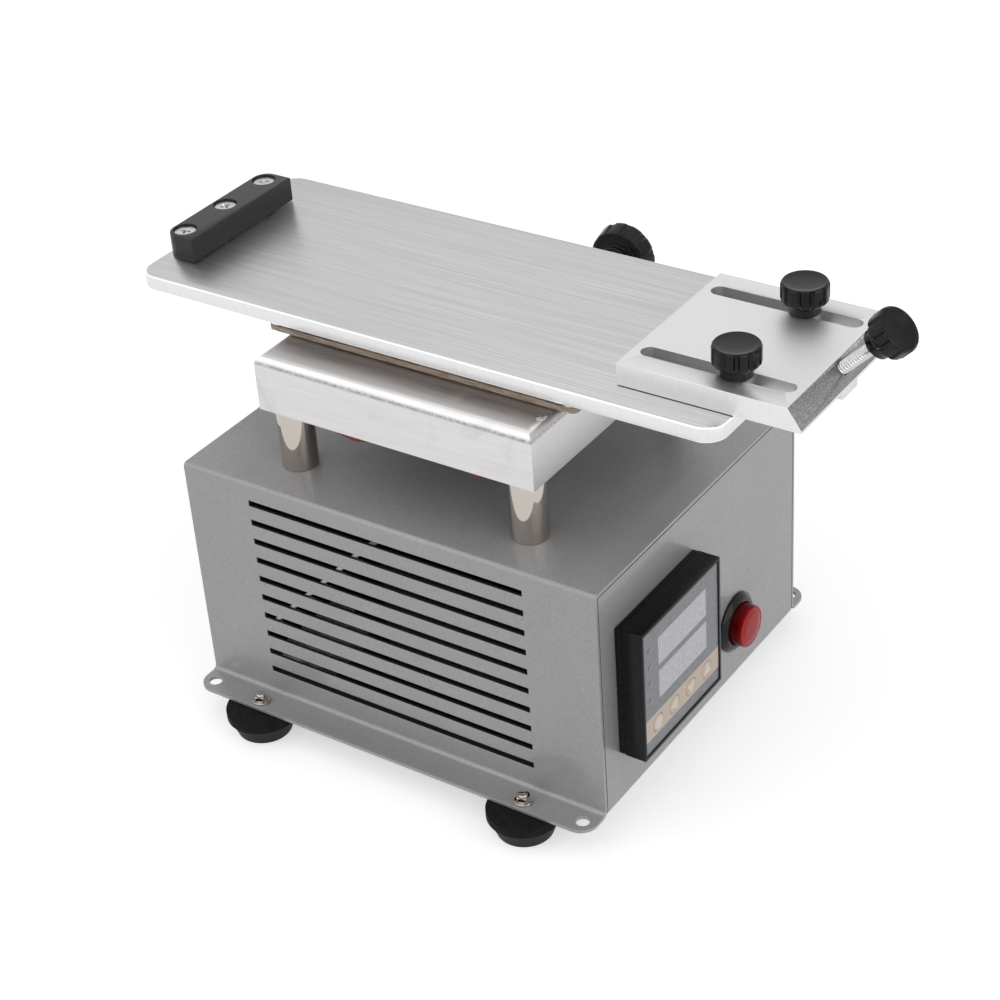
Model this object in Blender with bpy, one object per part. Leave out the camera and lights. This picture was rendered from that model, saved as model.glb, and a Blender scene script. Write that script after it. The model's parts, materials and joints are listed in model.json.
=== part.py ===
"""Heated turntable that loosens the glass of a phone screen, on a vented electronics case.

Run with: blender --background --python part.py
X runs from the stop block to the clamp, Z is up, and the pivot stands over the case's centre.
"""

import math

import bmesh
import bpy
from mathutils import Matrix, Vector

# Clearances and how finely round sections are drawn
GAP = 0.0003
CUT_REACH = 0.0024
HOLE_SIDES = 12
ROUND_SIDES = 16
WIDE_SIDES = 24
FLUTE_POINTS = 3
HEAD_CROWN = 0.75

# Case
SHEET = 0.0012
CASE_LENGTH = 0.1562
CASE_WIDTH = 0.1248
CASE_TOP = 0.0938
CASE_BEND = 0.0015
VENT_LENGTH = 0.1042
VENT_HEIGHT = 0.0022
VENT_PITCH = 0.00734
VENT_DROP = 0.0065
VENT_FOOT_ROOM = 0.0077
LIP_HEIGHT = 0.0090
LIP_RELIEF = 0.0040

# Feet and flanges
FOOT_END_INSET = 0.0257
FOOT_OUTSET = 0.0072
FOOT_HEIGHT = 0.0095
FOOT_TOP_R = 0.0122
FOOT_BASE_R = 0.0093
FOOT_EDGE = 0.0010
FOOT_POCKET_R = 0.0042
FOOT_POCKET_DEPTH = 0.0040
FOOT_SCREW_R = 0.0015
FOOT_HEAD_R = 0.0034
FOOT_HEAD_HEIGHT = 0.0020
FOOT_WASHER_R = 0.0030
FOOT_WASHER_HEIGHT = 0.0005
FOOT_NUT_FLATS = 0.0050
FOOT_NUT_HEIGHT = 0.0024
FOOT_SCREW_END = 0.0009
FLANGE_WIDTH = 0.0108
FLANGE_CORNER = 0.0060
FLANGE_HOLE_INSET = 0.0047
FLANGE_HOLE_OUTSET = 0.0059
FLANGE_HOLE_R = 0.00225

# Controller
CONTROLLER_INSET = 0.0091
CONTROLLER_RISE = 0.0004
BEZEL_SIZE = 0.0480
BEZEL_DEPTH = 0.0092
BEZEL_SEAM = 0.0042
BEZEL_SEAM_STEP = 0.0004
BEZEL_EDGE = 0.0007
BEZEL_FRAME = 0.0012
BEZEL_LAP = 0.0018
CONTROLLER_LENGTH = 0.0880
FACE_THICKNESS = 0.0010
FACE_RECESS = 0.0013
CLIP_WALL = 0.0038
CLIP_LENGTH = 0.0060
WINDOW_LEFT = 0.0101
WINDOW_RIGHT = 0.0088
WINDOW_TOP = 0.0069
WINDOW_GAP = 0.0022
WINDOW_KEY_GAP = 0.00555
WINDOW_THICKNESS = 0.0009
KEYS = 4
KEY_INSET = 0.0074
KEY_RISE = 0.0098
KEY_SIZE = 0.0062
KEY_CORNER = 0.0014
KEY_PROUD = 0.0003
KEY_DEPTH = 0.0016
KEY_TRAVEL = 0.0004

# Push button
BUTTON_SPACING = 0.0259
BUTTON_RISE = 0.0207
CAP_R = 0.0072
CAP_PROUD = 0.0065
CAP_EDGE = 0.0006
CAP_TRAVEL = 0.0025
BUTTON_WALL = 0.0007
BUTTON_BARREL_LENGTH = 0.0180
BUTTON_FLOOR = 0.0030
BUTTON_RING_LAP = 0.0023
BUTTON_RING_HEIGHT = 0.0020
BUTTON_RING_EDGE = 0.0017
BUTTON_NUT_WALL = 0.0028
BUTTON_NUT_HEIGHT = 0.0025

# Mains inlet in the rear panel
INLET_SIDE_ROOM = 0.0079
INLET_RISE = 0.0262
INLET_WIDTH = 0.0270
INLET_HEIGHT = 0.0200
INLET_CORNER_CUT = 0.0050
INLET_FLANGE_LAP = 0.0115
INLET_FLANGE_RIM = 0.0015
INLET_FLANGE_CORNER = 0.00575
INLET_FLANGE_THICKNESS = 0.0030
INLET_DEPTH = 0.0190
INLET_WALL = 0.0015
INLET_FLOOR = 0.0035
INLET_SCREW_LAP = 0.0065
INLET_SCREW_R = 0.0015
INLET_SCREW_REACH = 0.0048
INLET_HEAD_R = 0.0028
INLET_HEAD_HEIGHT = 0.0018
PIN_WIDTH = 0.0020
PIN_HEIGHT = 0.0040
PIN_PITCH = 0.0070
PIN_OFFSET = 0.0040
PIN_RECESS = 0.0020
PIN_TAIL = 0.0070

# Relay and terminal block on the case's bottom
RELAY_LENGTH = 0.0580
RELAY_WIDTH = 0.0450
RELAY_HEIGHT = 0.0230
RELAY_INLET_ROOM = 0.0040
RELAY_SIDE_ROOM = 0.0140
RELAY_END = 0.0090
RELAY_EAR_HEIGHT = 0.0045
RELAY_SHOULDER = 0.0140
RELAY_SCREW_R = 0.0019
RELAY_HEAD_R = 0.0036
RELAY_HEAD_HEIGHT = 0.0024
TERMINAL_END_ROOM = 0.0199
TERMINAL_SIDE_ROOM = 0.0030
TERMINAL_WIDTH = 0.0180
TERMINAL_HEIGHT = 0.0150
TERMINAL_SHOULDER = 0.0090
TERMINAL_STEP = 0.0050
TERMINAL_WAYS = 3
TERMINAL_PITCH = 0.0090
TERMINAL_END_WALL = 0.0015
TERMINAL_MOUTH_R = 0.0024

# Leads
INNER_LEAD_R = 0.0017
SUPPLY_LEAD_R = 0.0016
HEATER_LEAD_R = 0.0015
LEAD_END_GAP = 0.0004
LEAD_WALL_GAP = 0.0004
GROMMET_PLACE = (-0.0200, 0.0120)
GROMMET_HOLE_R = 0.0045
GROMMET_FLANGE_R = 0.0062
GROMMET_FLANGE_HEIGHT = 0.0016

# Posts
POST_INSET_X = 0.0076
POST_INSET_Y = 0.0075
POST_R = 0.0060
POST_LENGTH = 0.0219
POST_EDGE = 0.0004
POST_SCREW_R = 0.0020
POST_HEAD_R = 0.0036
POST_HEAD_HEIGHT = 0.0024

# Heater box
BOX_SIZE = 0.1030
BOX_HEIGHT = 0.0193
BOX_BEND = 0.0035
BOX_FLANGE_WIDTH = 0.0140
BOX_FLANGE_END = 0.0025

# Pivot
BARREL_BORE_R = 0.0030
BARREL_WALL = 0.0015
BARREL_RISE = 0.0008
HUB_R = 0.0170
HUB_THICKNESS = 0.0030
HUB_SCREWS = 4
HUB_SCREW_INSET = 0.0050
HUB_SCREW_R = 0.0015
HUB_SCREW_GRIP = 0.0035
HUB_NUT_WALL = 0.0020
HUB_NUT_HEIGHT = 0.0040
WASHER_STEP = 0.0010
WASHER_THICKNESS = 0.0021

# Brake: a split collar round the barrel, pulled together by a screw with a knob behind the box
COLLAR_RISE = 0.0058
COLLAR_WALL = 0.0050
COLLAR_CORNER = 0.0030
COLLAR_SLOT = 0.0012
BRAKE_RISE = 0.0103
BRAKE_SCREW_R = 0.0020
BRAKE_SCREW_ROOM = 0.0013
BRAKE_EAR = 0.0052
BRAKE_KNOB_STANDOFF = 0.0154
BRAKE_KNOB_R = 0.0113
BRAKE_KNOB_NEAR_R = 0.0104
BRAKE_KNOB_HEIGHT = 0.0066
BRAKE_HUB_R = 0.0055
BRAKE_HUB_HEIGHT = 0.0020
BRAKE_FLUTES = 11

# Heating plate and what is under it
PLATE_LENGTH = 0.2134
PLATE_WIDTH = 0.0814
PLATE_THICKNESS = 0.0050
PLATE_CORNER = 0.0070
PLATE_CHAMFER = 0.0004
BOARD_LENGTH = 0.1145
BOARD_MARGIN = 0.0045
BOARD_THICKNESS = 0.0018
BOARD_CORNER = 0.0020
BOARD_HOLE_CLEARANCE = 0.0010
BOARD_SCREW_INSET_X = 0.00285
BOARD_SCREW_INSET_Y = 0.0024
BOARD_SCREW_R = 0.0012
BOARD_HEAD_R = 0.0022
BOARD_SCREW_GRIP = 0.0030
SPACER_R = 0.0027
MAT_END_MARGIN = 0.00725
MAT_SIDE_MARGIN = 0.0032
MAT_THICKNESS = 0.0015
PAD_THICKNESS = 0.0012

# Stop block
STOP_INSET = 0.0015
STOP_OFFSET = 0.0012
STOP_DEPTH = 0.0118
STOP_WIDTH = 0.0520
STOP_HEIGHT = 0.0082
STOP_CORNER = 0.0050
STOP_SCREW_INSET = 0.0047
STOP_SCREW_END = 0.0054
STOP_SCREW_R = 0.0018
STOP_HEAD_R = 0.00375
STOP_SCREW_GRIP = 0.0035

# Clamp plate
CLAMP_LAP = 0.0381
CLAMP_TOP_LENGTH = 0.0550
CLAMP_WIDTH = 0.0618
CLAMP_THICKNESS = 0.0072
BEVEL_RUN = 0.0045
BEVEL_DROP = 0.0064
CLAMP_CHAMFER = 0.0003
SLOT_Y = 0.0208
SLOT_START = 0.0026
SLOT_END = 0.0024
SLOT_CLEARANCE = 0.00075
BOSS_INSET = 0.0003
BOSS_LENGTH = 0.0098
BOSS_WIDTH = 0.0098
BOSS_DROP = 0.0026
BOSS_ROOT = 0.0018

# Lock knobs on studs, and the end knob on its inclined screw
LOCK_INSET = 0.0042
KNOB_R = 0.0073
KNOB_TOP_INSET = 0.00055
KNOB_HUB_R = 0.0049
KNOB_HUB_HEIGHT = 0.0028
KNOB_HEIGHT = 0.0070
KNOB_FLUTES = 11
KNOB_FLUTE_DEPTH = 0.0007
KNOB_DISH = 0.0004
KNOB_BORE_DEPTH = 0.0075
STUD_R = 0.0020
STUD_GRIP = 0.0042
END_SCREW_RUN = 0.0009
END_SCREW_DROP = 0.0033
END_SCREW_TILT = math.radians(45)
END_SCREW_SHOWN = 0.0157
END_SCREW_GRIP = 0.0060

# Places and heights that follow from the sizes above
PANEL_X = CASE_LENGTH / 2
WALL_Y = CASE_WIDTH / 2
INNER_Y = WALL_Y - SHEET - GAP
FLANGE_BOTTOM = FOOT_HEIGHT + GAP
FLANGE_TOP = FLANGE_BOTTOM + SHEET
FOOT_X = PANEL_X - FOOT_END_INSET
FOOT_Y = WALL_Y + FOOT_OUTSET
FLANGE_HOLE_X = PANEL_X - FLANGE_HOLE_INSET
FLANGE_HOLE_Y = WALL_Y + FLANGE_HOLE_OUTSET
VENT_TOP = CASE_TOP - VENT_DROP
VENTS = 1 + int((VENT_TOP - VENT_HEIGHT - FLANGE_TOP - VENT_FOOT_ROOM) / VENT_PITCH)
CONTROLLER_Y = -WALL_Y + CONTROLLER_INSET + BEZEL_SIZE / 2
CONTROLLER_Z = (FLANGE_TOP + CASE_TOP) / 2 + CONTROLLER_RISE
CONTROLLER_BODY = BEZEL_SIZE - 2 * BEZEL_LAP
CONTROLLER_REAR = PANEL_X - CONTROLLER_LENGTH
KEY_Z = KEY_RISE - BEZEL_SIZE / 2
KEY_SPAN = BEZEL_SIZE - 2 * (BEZEL_FRAME + GAP + KEY_INSET)
KEY_PLACES = [KEY_SPAN * (index / (KEYS - 1) - 1 / 2) for index in range(KEYS)]
WINDOW_WIDTH = BEZEL_SIZE - WINDOW_LEFT - WINDOW_RIGHT
WINDOW_Y = (WINDOW_LEFT - WINDOW_RIGHT) / 2
WINDOW_FOOT = KEY_Z + KEY_SIZE / 2 + WINDOW_KEY_GAP
WINDOW_HEIGHT = (BEZEL_SIZE / 2 - WINDOW_TOP - WINDOW_GAP - WINDOW_FOOT) / 2
LOWER_WINDOW_Z = WINDOW_FOOT + WINDOW_HEIGHT / 2
UPPER_WINDOW_Z = LOWER_WINDOW_Z + WINDOW_HEIGHT + WINDOW_GAP
BUTTON_Y = CONTROLLER_Y + BEZEL_SIZE / 2 + BUTTON_SPACING
BUTTON_Z = FLANGE_TOP + BUTTON_RISE
BUTTON_BARREL_R = CAP_R + GAP + BUTTON_WALL
BUTTON_RING_R = BUTTON_BARREL_R + BUTTON_RING_LAP
INLET_FLANGE_WIDTH = INLET_WIDTH + 2 * INLET_FLANGE_LAP
INLET_FLANGE_HEIGHT = INLET_HEIGHT + 2 * INLET_FLANGE_RIM
INLET_Y = INNER_Y - INLET_SIDE_ROOM - INLET_FLANGE_WIDTH / 2
INLET_Z = FLANGE_BOTTOM + INLET_RISE
PIN_END_X = -PANEL_X + INLET_DEPTH + PIN_TAIL
RELAY_X = PIN_END_X + RELAY_INLET_ROOM + RELAY_LENGTH / 2
RELAY_Y = INNER_Y - RELAY_SIDE_ROOM - RELAY_WIDTH / 2
TERMINAL_LENGTH = TERMINAL_WAYS * TERMINAL_PITCH + 2 * TERMINAL_END_WALL
TERMINAL_X = -PANEL_X + SHEET + TERMINAL_END_ROOM + TERMINAL_WIDTH / 2
TERMINAL_Y = -INNER_Y + SHEET + TERMINAL_SIDE_ROOM + TERMINAL_LENGTH / 2
BOX_BOTTOM = CASE_TOP + POST_LENGTH
BOX_TOP = BOX_BOTTOM + BOX_HEIGHT
POST_X = BOX_SIZE / 2 - POST_INSET_X
POST_Y = BOX_SIZE / 2 - POST_INSET_Y
BARREL_R = BARREL_BORE_R + BARREL_WALL
BARREL_FOOT = BOX_BOTTOM + BARREL_RISE
COLLAR_FOOT = BOX_BOTTOM + COLLAR_RISE
WASHER_R = HUB_R - WASHER_STEP
HUB_BOTTOM = BOX_TOP + GAP + WASHER_THICKNESS + GAP
HUB_SCREW_LENGTH = HUB_THICKNESS + GAP + HUB_SCREW_GRIP
HUB_HOLE_R = HUB_R + BOARD_HOLE_CLEARANCE
BRAKE_X = BARREL_R + BRAKE_SCREW_ROOM + BRAKE_SCREW_R
BRAKE_Z = BOX_BOTTOM + BRAKE_RISE
BRAKE_KNOB_Y = BOX_SIZE / 2 + BRAKE_KNOB_STANDOFF
PLATE_BOTTOM = HUB_BOTTOM + HUB_THICKNESS + GAP
PLATE_TOP = PLATE_BOTTOM + PLATE_THICKNESS
BOARD_TOP = HUB_BOTTOM - GAP
BOARD_BOTTOM = BOARD_TOP - BOARD_THICKNESS
BOARD_WIDTH = PLATE_WIDTH - 2 * BOARD_MARGIN
BOARD_SCREW_X = BOARD_LENGTH / 2 - BOARD_SCREW_INSET_X
BOARD_SCREW_Y = BOARD_WIDTH / 2 - BOARD_SCREW_INSET_Y
MAT_LENGTH = BOARD_LENGTH - 2 * MAT_END_MARGIN
MAT_WIDTH = BOARD_WIDTH - 2 * MAT_SIDE_MARGIN
STOP_LEFT = STOP_INSET - PLATE_LENGTH / 2
STOP_SCREW_PITCH = STOP_WIDTH / 2 - STOP_SCREW_END
CLAMP_LEFT = PLATE_LENGTH / 2 - CLAMP_LAP
CLAMP_BEVEL_X = CLAMP_LEFT + CLAMP_TOP_LENGTH
CLAMP_RIGHT = CLAMP_BEVEL_X + BEVEL_RUN
CLAMP_BOTTOM = PLATE_TOP + GAP
CLAMP_TOP = CLAMP_BOTTOM + CLAMP_THICKNESS
SLOT_LENGTH = CLAMP_TOP_LENGTH - SLOT_START - SLOT_END
SLOT_WIDTH = 2 * (STUD_R + SLOT_CLEARANCE)
BOSS_LEFT = CLAMP_RIGHT - BOSS_INSET - BOSS_LENGTH
LOCK_X = PLATE_LENGTH / 2 - LOCK_INSET
KNOB_TOP_R = KNOB_R - KNOB_TOP_INSET

# Frames whose local Z runs along +X, along -Y and along the inclined end screw
ALONG_X = Matrix(((0, 0, 1), (1, 0, 0), (0, 1, 0))).to_4x4()
ALONG_Y = Matrix(((1, 0, 0), (0, 0, -1), (0, 1, 0))).to_4x4()
UPRIGHT = Matrix.Identity(4)
UPSIDE_DOWN = Matrix.Rotation(math.pi, 4, "X")

COLOURS = {
    "case_paint": ((0.56, 0.57, 0.58), 0.42, 0.75),
    "rubber": ((0.015, 0.015, 0.016), 0.75, 0.0),
    "nickel": ((0.70, 0.68, 0.64), 0.25, 1.0),
    "black_plastic": ((0.012, 0.012, 0.013), 0.30, 0.0),
    "grey_face": ((0.24, 0.26, 0.31), 0.45, 0.0),
    "window_grey": ((0.58, 0.59, 0.60), 0.20, 0.0),
    "key_tan": ((0.70, 0.58, 0.46), 0.50, 0.0),
    "red_cap": ((0.45, 0.01, 0.01), 0.18, 0.0),
    "white_plastic": ((0.75, 0.75, 0.72), 0.45, 0.0),
    "pale_sleeve": ((0.72, 0.70, 0.64), 0.60, 0.0),
    "red_silicone": ((0.28, 0.02, 0.012), 0.45, 0.0),
    "satin_steel": ((0.60, 0.58, 0.56), 0.35, 1.0),
    "brass": ((0.70, 0.52, 0.24), 0.35, 1.0),
    "plain_steel": ((0.50, 0.50, 0.50), 0.35, 1.0),
    "brushed_aluminium": ((0.78, 0.78, 0.78), 0.30, 1.0),
    "blasted_aluminium": ((0.66, 0.66, 0.67), 0.50, 1.0),
    "heater_orange": ((0.50, 0.12, 0.03), 0.60, 0.0),
    "felt_white": ((0.70, 0.70, 0.66), 0.90, 0.0),
    "mica_brown": ((0.28, 0.20, 0.12), 0.55, 0.0),
    "black_anodised": ((0.02, 0.02, 0.021), 0.38, 0.6),
    "zinc": ((0.62, 0.62, 0.60), 0.30, 1.0),
}


def clear_scene():
    for obj in list(bpy.data.objects):
        bpy.data.objects.remove(obj)


def paint(name):
    """The named material, made on its first use."""
    found = bpy.data.materials.get(name)
    if found:
        return found
    colour, roughness, metallic = COLOURS[name]
    material = bpy.data.materials.new(name)
    material.use_nodes = True
    shader = material.node_tree.nodes["Principled BSDF"]
    shader.inputs["Base Color"].default_value = (*colour, 1.0)
    shader.inputs["Roughness"].default_value = roughness
    shader.inputs["Metallic"].default_value = metallic
    material.diffuse_color = (*colour, 1.0)
    return material


def empty(name, place, parent=None):
    obj = bpy.data.objects.new(name, None)
    bpy.context.scene.collection.objects.link(obj)
    obj.parent = parent
    obj.location = Vector(place) - place_of(parent)
    return obj


def place_of(obj):
    """Where an empty stands in the design frame."""
    if obj is None:
        return Vector((0, 0, 0))
    return obj.location + place_of(obj.parent)


def piece(name, bm, colour, parent, origin=(0, 0, 0)):
    """An object with its own origin, from a mesh drawn in the design frame."""
    bmesh.ops.recalc_face_normals(bm, faces=bm.faces)
    bmesh.ops.translate(bm, verts=bm.verts, vec=-Vector(origin))
    mesh = bpy.data.meshes.new(name)
    bm.to_mesh(mesh)
    bm.free()
    mesh.shade_smooth()
    mesh.set_sharp_from_angle(angle=math.radians(30))
    mesh.materials.append(paint(colour))
    obj = bpy.data.objects.new(name, mesh)
    bpy.context.scene.collection.objects.link(obj)
    obj.parent = parent
    obj.location = Vector(origin) - place_of(parent)
    return obj


def boolean(target, kind, bm, base):
    """Joins or cuts the target with a hidden helper mesh drawn in the design frame."""
    helper = piece(f"{target.name}_{kind.lower()}", bm, "zinc", base)
    helper.hide_render = True
    helper.display_type = "WIRE"
    modifier = target.modifiers.new(kind.title(), "BOOLEAN")
    modifier.operation = kind
    modifier.solver = "EXACT"
    modifier.object = helper


def placed(place, frame=UPRIGHT):
    return Matrix.Translation(place) @ frame


def loft(bm, rings, closed=False, frame=UPRIGHT):
    """A solid through rings of equally many points. A closed one runs back to its first ring."""
    rows = [[bm.verts.new(frame @ Vector(point)) for point in ring] for ring in rings]
    pairs = list(zip(rows, rows[1:]))
    if closed:
        pairs.append((rows[-1], rows[0]))
    else:
        bm.faces.new(rows[0][::-1])
        bm.faces.new(rows[-1])
    for lower, upper in pairs:
        for here in range(len(lower)):
            there = (here + 1) % len(lower)
            bm.faces.new((lower[here], lower[there], upper[there], upper[here]))


def circle(radius, height, sides=HOLE_SIDES, turn=0.0):
    angles = [turn + math.tau * index / sides for index in range(sides)]
    return [(radius * math.cos(a), radius * math.sin(a), height) for a in angles]


def turned(bm, profile, frame=UPRIGHT, closed=False, sides=ROUND_SIDES):
    """A round solid from its (radius, height) profile."""
    loft(bm, [circle(radius, height, sides) for radius, height in profile], closed, frame)


def hexagon(flats, height, sides):
    """A nut's outline, with as many points as the round sections beside it."""
    points = []
    for x, y, _ in circle(1, height, sides):
        off_flat = (math.atan2(y, x) + math.pi / 6) % (math.pi / 3) - math.pi / 6
        reach = flats / 2 / math.cos(off_flat)
        points.append((reach * x, reach * y, height))
    return points


def hex_nut(bm, flats, low, high, bore, frame=UPRIGHT):
    """A nut with a round bore."""
    outside = [hexagon(flats, height, WIDE_SIDES) for height in (low, high)]
    inside = [circle(bore, height, WIDE_SIDES) for height in (high, low)]
    loft(bm, outside + inside, True, frame)


def extruded(bm, outline, low, high, frame=UPRIGHT):
    """A bar of one outline between two heights."""
    loft(bm, [[(x, y, height) for x, y in outline] for height in (low, high)], frame=frame)


def rounded(length, width, radius, steps=4, centre=(0, 0)):
    """A rectangle's outline with round corners."""
    points = []
    for quarter, (side_x, side_y) in enumerate(((1, 1), (-1, 1), (-1, -1), (1, -1))):
        middle_x = centre[0] + side_x * (length / 2 - radius)
        middle_y = centre[1] + side_y * (width / 2 - radius)
        for step in range(steps + 1):
            angle = math.pi / 2 * (quarter + step / steps)
            x = middle_x + radius * math.cos(angle)
            y = middle_y + radius * math.sin(angle)
            points.append((x, y))
    return points


def block(bm, low, high):
    """A box between two corners."""
    size = Vector(high) - Vector(low)
    middle = (Vector(high) + Vector(low)) / 2
    matrix = Matrix.Translation(middle) @ Matrix.Diagonal((*size, 1))
    return bmesh.ops.create_cube(bm, size=1, matrix=matrix)["verts"]


def folded(path, thickness, bend, steps=3):
    """The outline of a folded sheet, from the corners of its outer face and its outer bend radius.

    The sheet lies to the right of the path, except where a fold turns the other way.
    """
    outer = []
    inner = []
    corners = [Vector(corner) for corner in path]
    for before, corner, after in zip([None, *corners], corners, [*corners[1:], None]):
        ahead = (after - corner).normalized() if after else (corner - before).normalized()
        behind = (corner - before).normalized() if before else ahead
        right = Vector((ahead.y, -ahead.x))
        right_before = Vector((behind.y, -behind.x))
        turn = behind.x * ahead.y - behind.y * ahead.x
        if abs(turn) < 0.5:
            outer.append(corner)
            inner.append(corner + right * thickness)
            continue
        side = -1 if turn > 0 else 1
        outer_bend = bend if side > 0 else bend - thickness
        inner_bend = bend - thickness if side > 0 else bend
        middle = corner + (right + right_before) * side * outer_bend
        for step in range(steps + 1):
            swing = math.pi / 2 * step / steps
            spoke = -side * (right_before * math.cos(swing) + right * math.sin(swing))
            outer.append(middle + spoke * outer_bend)
            inner.append(middle + spoke * inner_bend)
    return [tuple(point) for point in outer + inner[::-1]]


def bevel(bm, edges, width, segments):
    bmesh.ops.bevel(bm, geom=edges, offset=width, segments=segments, profile=0.5, affect="EDGES")


def long_edges(bm, axis, test=lambda middle: True):
    """The edges along an axis whose middle passes the test."""
    found = []
    for edge in bm.edges:
        run = edge.verts[1].co - edge.verts[0].co
        middle = (edge.verts[1].co + edge.verts[0].co) / 2
        if run.length > 0 and abs(run[axis]) / run.length > 0.999 and test(middle):
            found.append(edge)
    return found


def countersunk(bm, frame, head, shank, length, grow=0.0):
    """A countersunk screw with its head's top at height 0, or with grow, the hole it sits in."""
    profile = [
        (shank + grow, -length - grow),
        (shank + grow, shank - head - grow),
        (head + grow, -grow),
    ]
    top = 2 * GAP if grow else 0.0
    if grow:
        profile.append((head + grow, top))
    turned(bm, profile, frame, sides=HOLE_SIDES)


def pan_head(head, height, seat, sides=HOLE_SIDES):
    """The rings of a screw's head, from its crown, below a positive height, to its seat."""
    return [circle(head * HEAD_CROWN, seat - height, sides), circle(head, seat, sides)]


def pan_screw(bm, frame, head, head_height, shank, length):
    """A screw whose head rests on height 0 and whose shank runs up from it."""
    rings = pan_head(head, head_height, 0)
    rings += [circle(shank, height) for height in (0, length)]
    loft(bm, rings, frame=frame)


def round_bar(bm, frame, radius, low, high):
    """A short round bar, as a cutter or a shank."""
    turned(bm, [(radius, low), (radius, high)], frame, sides=HOLE_SIDES)


def sheet_hole(bm, frame, radius):
    """A cutter for a hole through a sheet whose outer face lies at height 0."""
    round_bar(bm, frame, radius, -CUT_REACH, CUT_REACH)


def mirrored(x, y):
    """The four places with these distances from the centre."""
    return [(sx * x, sy * y) for sx in (-1, 1) for sy in (-1, 1)]


def smooth_route(points, spacing):
    """Evenly spaced points on a smooth curve through the route's own points."""
    route = [Vector(point) for point in points]
    ends = [2 * route[0] - route[1], *route, 2 * route[-1] - route[-2]]
    found = [route[0]]
    for before, start, end, after in zip(ends, ends[1:], ends[2:], ends[3:]):
        count = max(1, round((end - start).length / spacing))
        for index in range(1, count + 1):
            t = index / count
            bend = 2 * start + (end - before) * t
            bend += (2 * before - 5 * start + 4 * end - after) * t**2
            bend += (3 * start - before - 3 * end + after) * t**3
            found.append(bend / 2)
    return found


def lead(name, points, radius, colour, parent):
    """A round lead along a smooth route."""
    curve = bpy.data.curves.new(name, "CURVE")
    curve.dimensions = "3D"
    curve.bevel_depth = radius
    curve.bevel_resolution = 2
    curve.use_fill_caps = True
    curve.materials.append(paint(colour))
    route = smooth_route(points, 5 * radius)
    spline = curve.splines.new("POLY")
    spline.points.add(len(route) - 1)
    for point, place in zip(spline.points, route):
        point.co = (*place, 1)
    obj = bpy.data.objects.new(name, curve)
    bpy.context.scene.collection.objects.link(obj)
    obj.parent = parent
    obj.location = -place_of(parent)
    return obj


# Feet


def make_feet(base):
    bore = FOOT_SCREW_R + GAP
    for index, (x, y) in enumerate(mirrored(FOOT_X, FOOT_Y)):
        place = (x, y, 0)
        bm = bmesh.new()
        profile = [
            (FOOT_BASE_R - FOOT_EDGE, 0),
            (FOOT_BASE_R, FOOT_EDGE),
            (FOOT_TOP_R, FOOT_HEIGHT - FOOT_EDGE / 2),
            (FOOT_TOP_R, FOOT_HEIGHT),
            (bore, FOOT_HEIGHT),
            (bore, FOOT_POCKET_DEPTH),
            (FOOT_POCKET_R, FOOT_POCKET_DEPTH),
            (FOOT_POCKET_R, 0),
        ]
        turned(bm, profile, placed(place), closed=True)
        piece(f"foot_{index + 1}", bm, "rubber", base, place)


def make_foot_screws(base):
    """A screw up through each foot, tightened with a washer and a nut on the flange."""
    head_seat = FOOT_POCKET_DEPTH - GAP
    washer_bottom = FLANGE_TOP + GAP
    washer_top = washer_bottom + FOOT_WASHER_HEIGHT
    nut_top = washer_top + FOOT_NUT_HEIGHT
    rings = [
        *pan_head(FOOT_HEAD_R, FOOT_HEAD_HEIGHT, head_seat),
        circle(FOOT_SCREW_R, head_seat),
        circle(FOOT_SCREW_R, washer_bottom),
        circle(FOOT_WASHER_R, washer_bottom),
        circle(FOOT_WASHER_R, washer_top),
        hexagon(FOOT_NUT_FLATS, washer_top, HOLE_SIDES),
        hexagon(FOOT_NUT_FLATS, nut_top, HOLE_SIDES),
        circle(FOOT_SCREW_R, nut_top),
        circle(FOOT_SCREW_R, nut_top + FOOT_SCREW_END),
    ]
    for index, (x, y) in enumerate(mirrored(FOOT_X, FOOT_Y)):
        bm = bmesh.new()
        loft(bm, rings, frame=placed((x, y, 0)))
        piece(f"foot_screw_{index + 1}", bm, "nickel", base, (x, y, head_seat))


# Case


def make_case_cover(base):
    """One folded sheet: a flange, a vented wall, the top, and the same again."""
    flange = WALL_Y + FLANGE_WIDTH
    path = [
        (-flange, FLANGE_TOP),
        (-WALL_Y, FLANGE_TOP),
        (-WALL_Y, CASE_TOP),
        (WALL_Y, CASE_TOP),
        (WALL_Y, FLANGE_TOP),
        (flange, FLANGE_TOP),
    ]
    bm = bmesh.new()
    extruded(bm, folded(path, SHEET, CASE_BEND), -PANEL_X, PANEL_X, ALONG_X)
    corners = long_edges(bm, 2, lambda middle: abs(middle.y) > flange - GAP)
    bevel(bm, corners, FLANGE_CORNER, 4)
    cover = piece("case_cover", bm, "case_paint", base)

    cuts = bmesh.new()
    for index in range(VENTS):
        top = VENT_TOP - index * VENT_PITCH
        low = (-VENT_LENGTH / 2, -WALL_Y - CUT_REACH, top - VENT_HEIGHT)
        block(cuts, low, (VENT_LENGTH / 2, WALL_Y + CUT_REACH, top))
    for x, y in mirrored(FOOT_X, FOOT_Y):
        sheet_hole(cuts, placed((x, y, FLANGE_TOP)), FOOT_SCREW_R + GAP)
    for x, y in mirrored(FLANGE_HOLE_X, FLANGE_HOLE_Y):
        sheet_hole(cuts, placed((x, y, FLANGE_TOP)), FLANGE_HOLE_R)
    for x, y in mirrored(POST_X, POST_Y):
        sheet_hole(cuts, placed((x, y, CASE_TOP)), POST_SCREW_R + GAP)
    sheet_hole(cuts, placed((*GROMMET_PLACE, CASE_TOP)), GROMMET_HOLE_R)
    boolean(cover, "DIFFERENCE", cuts, base)


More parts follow.
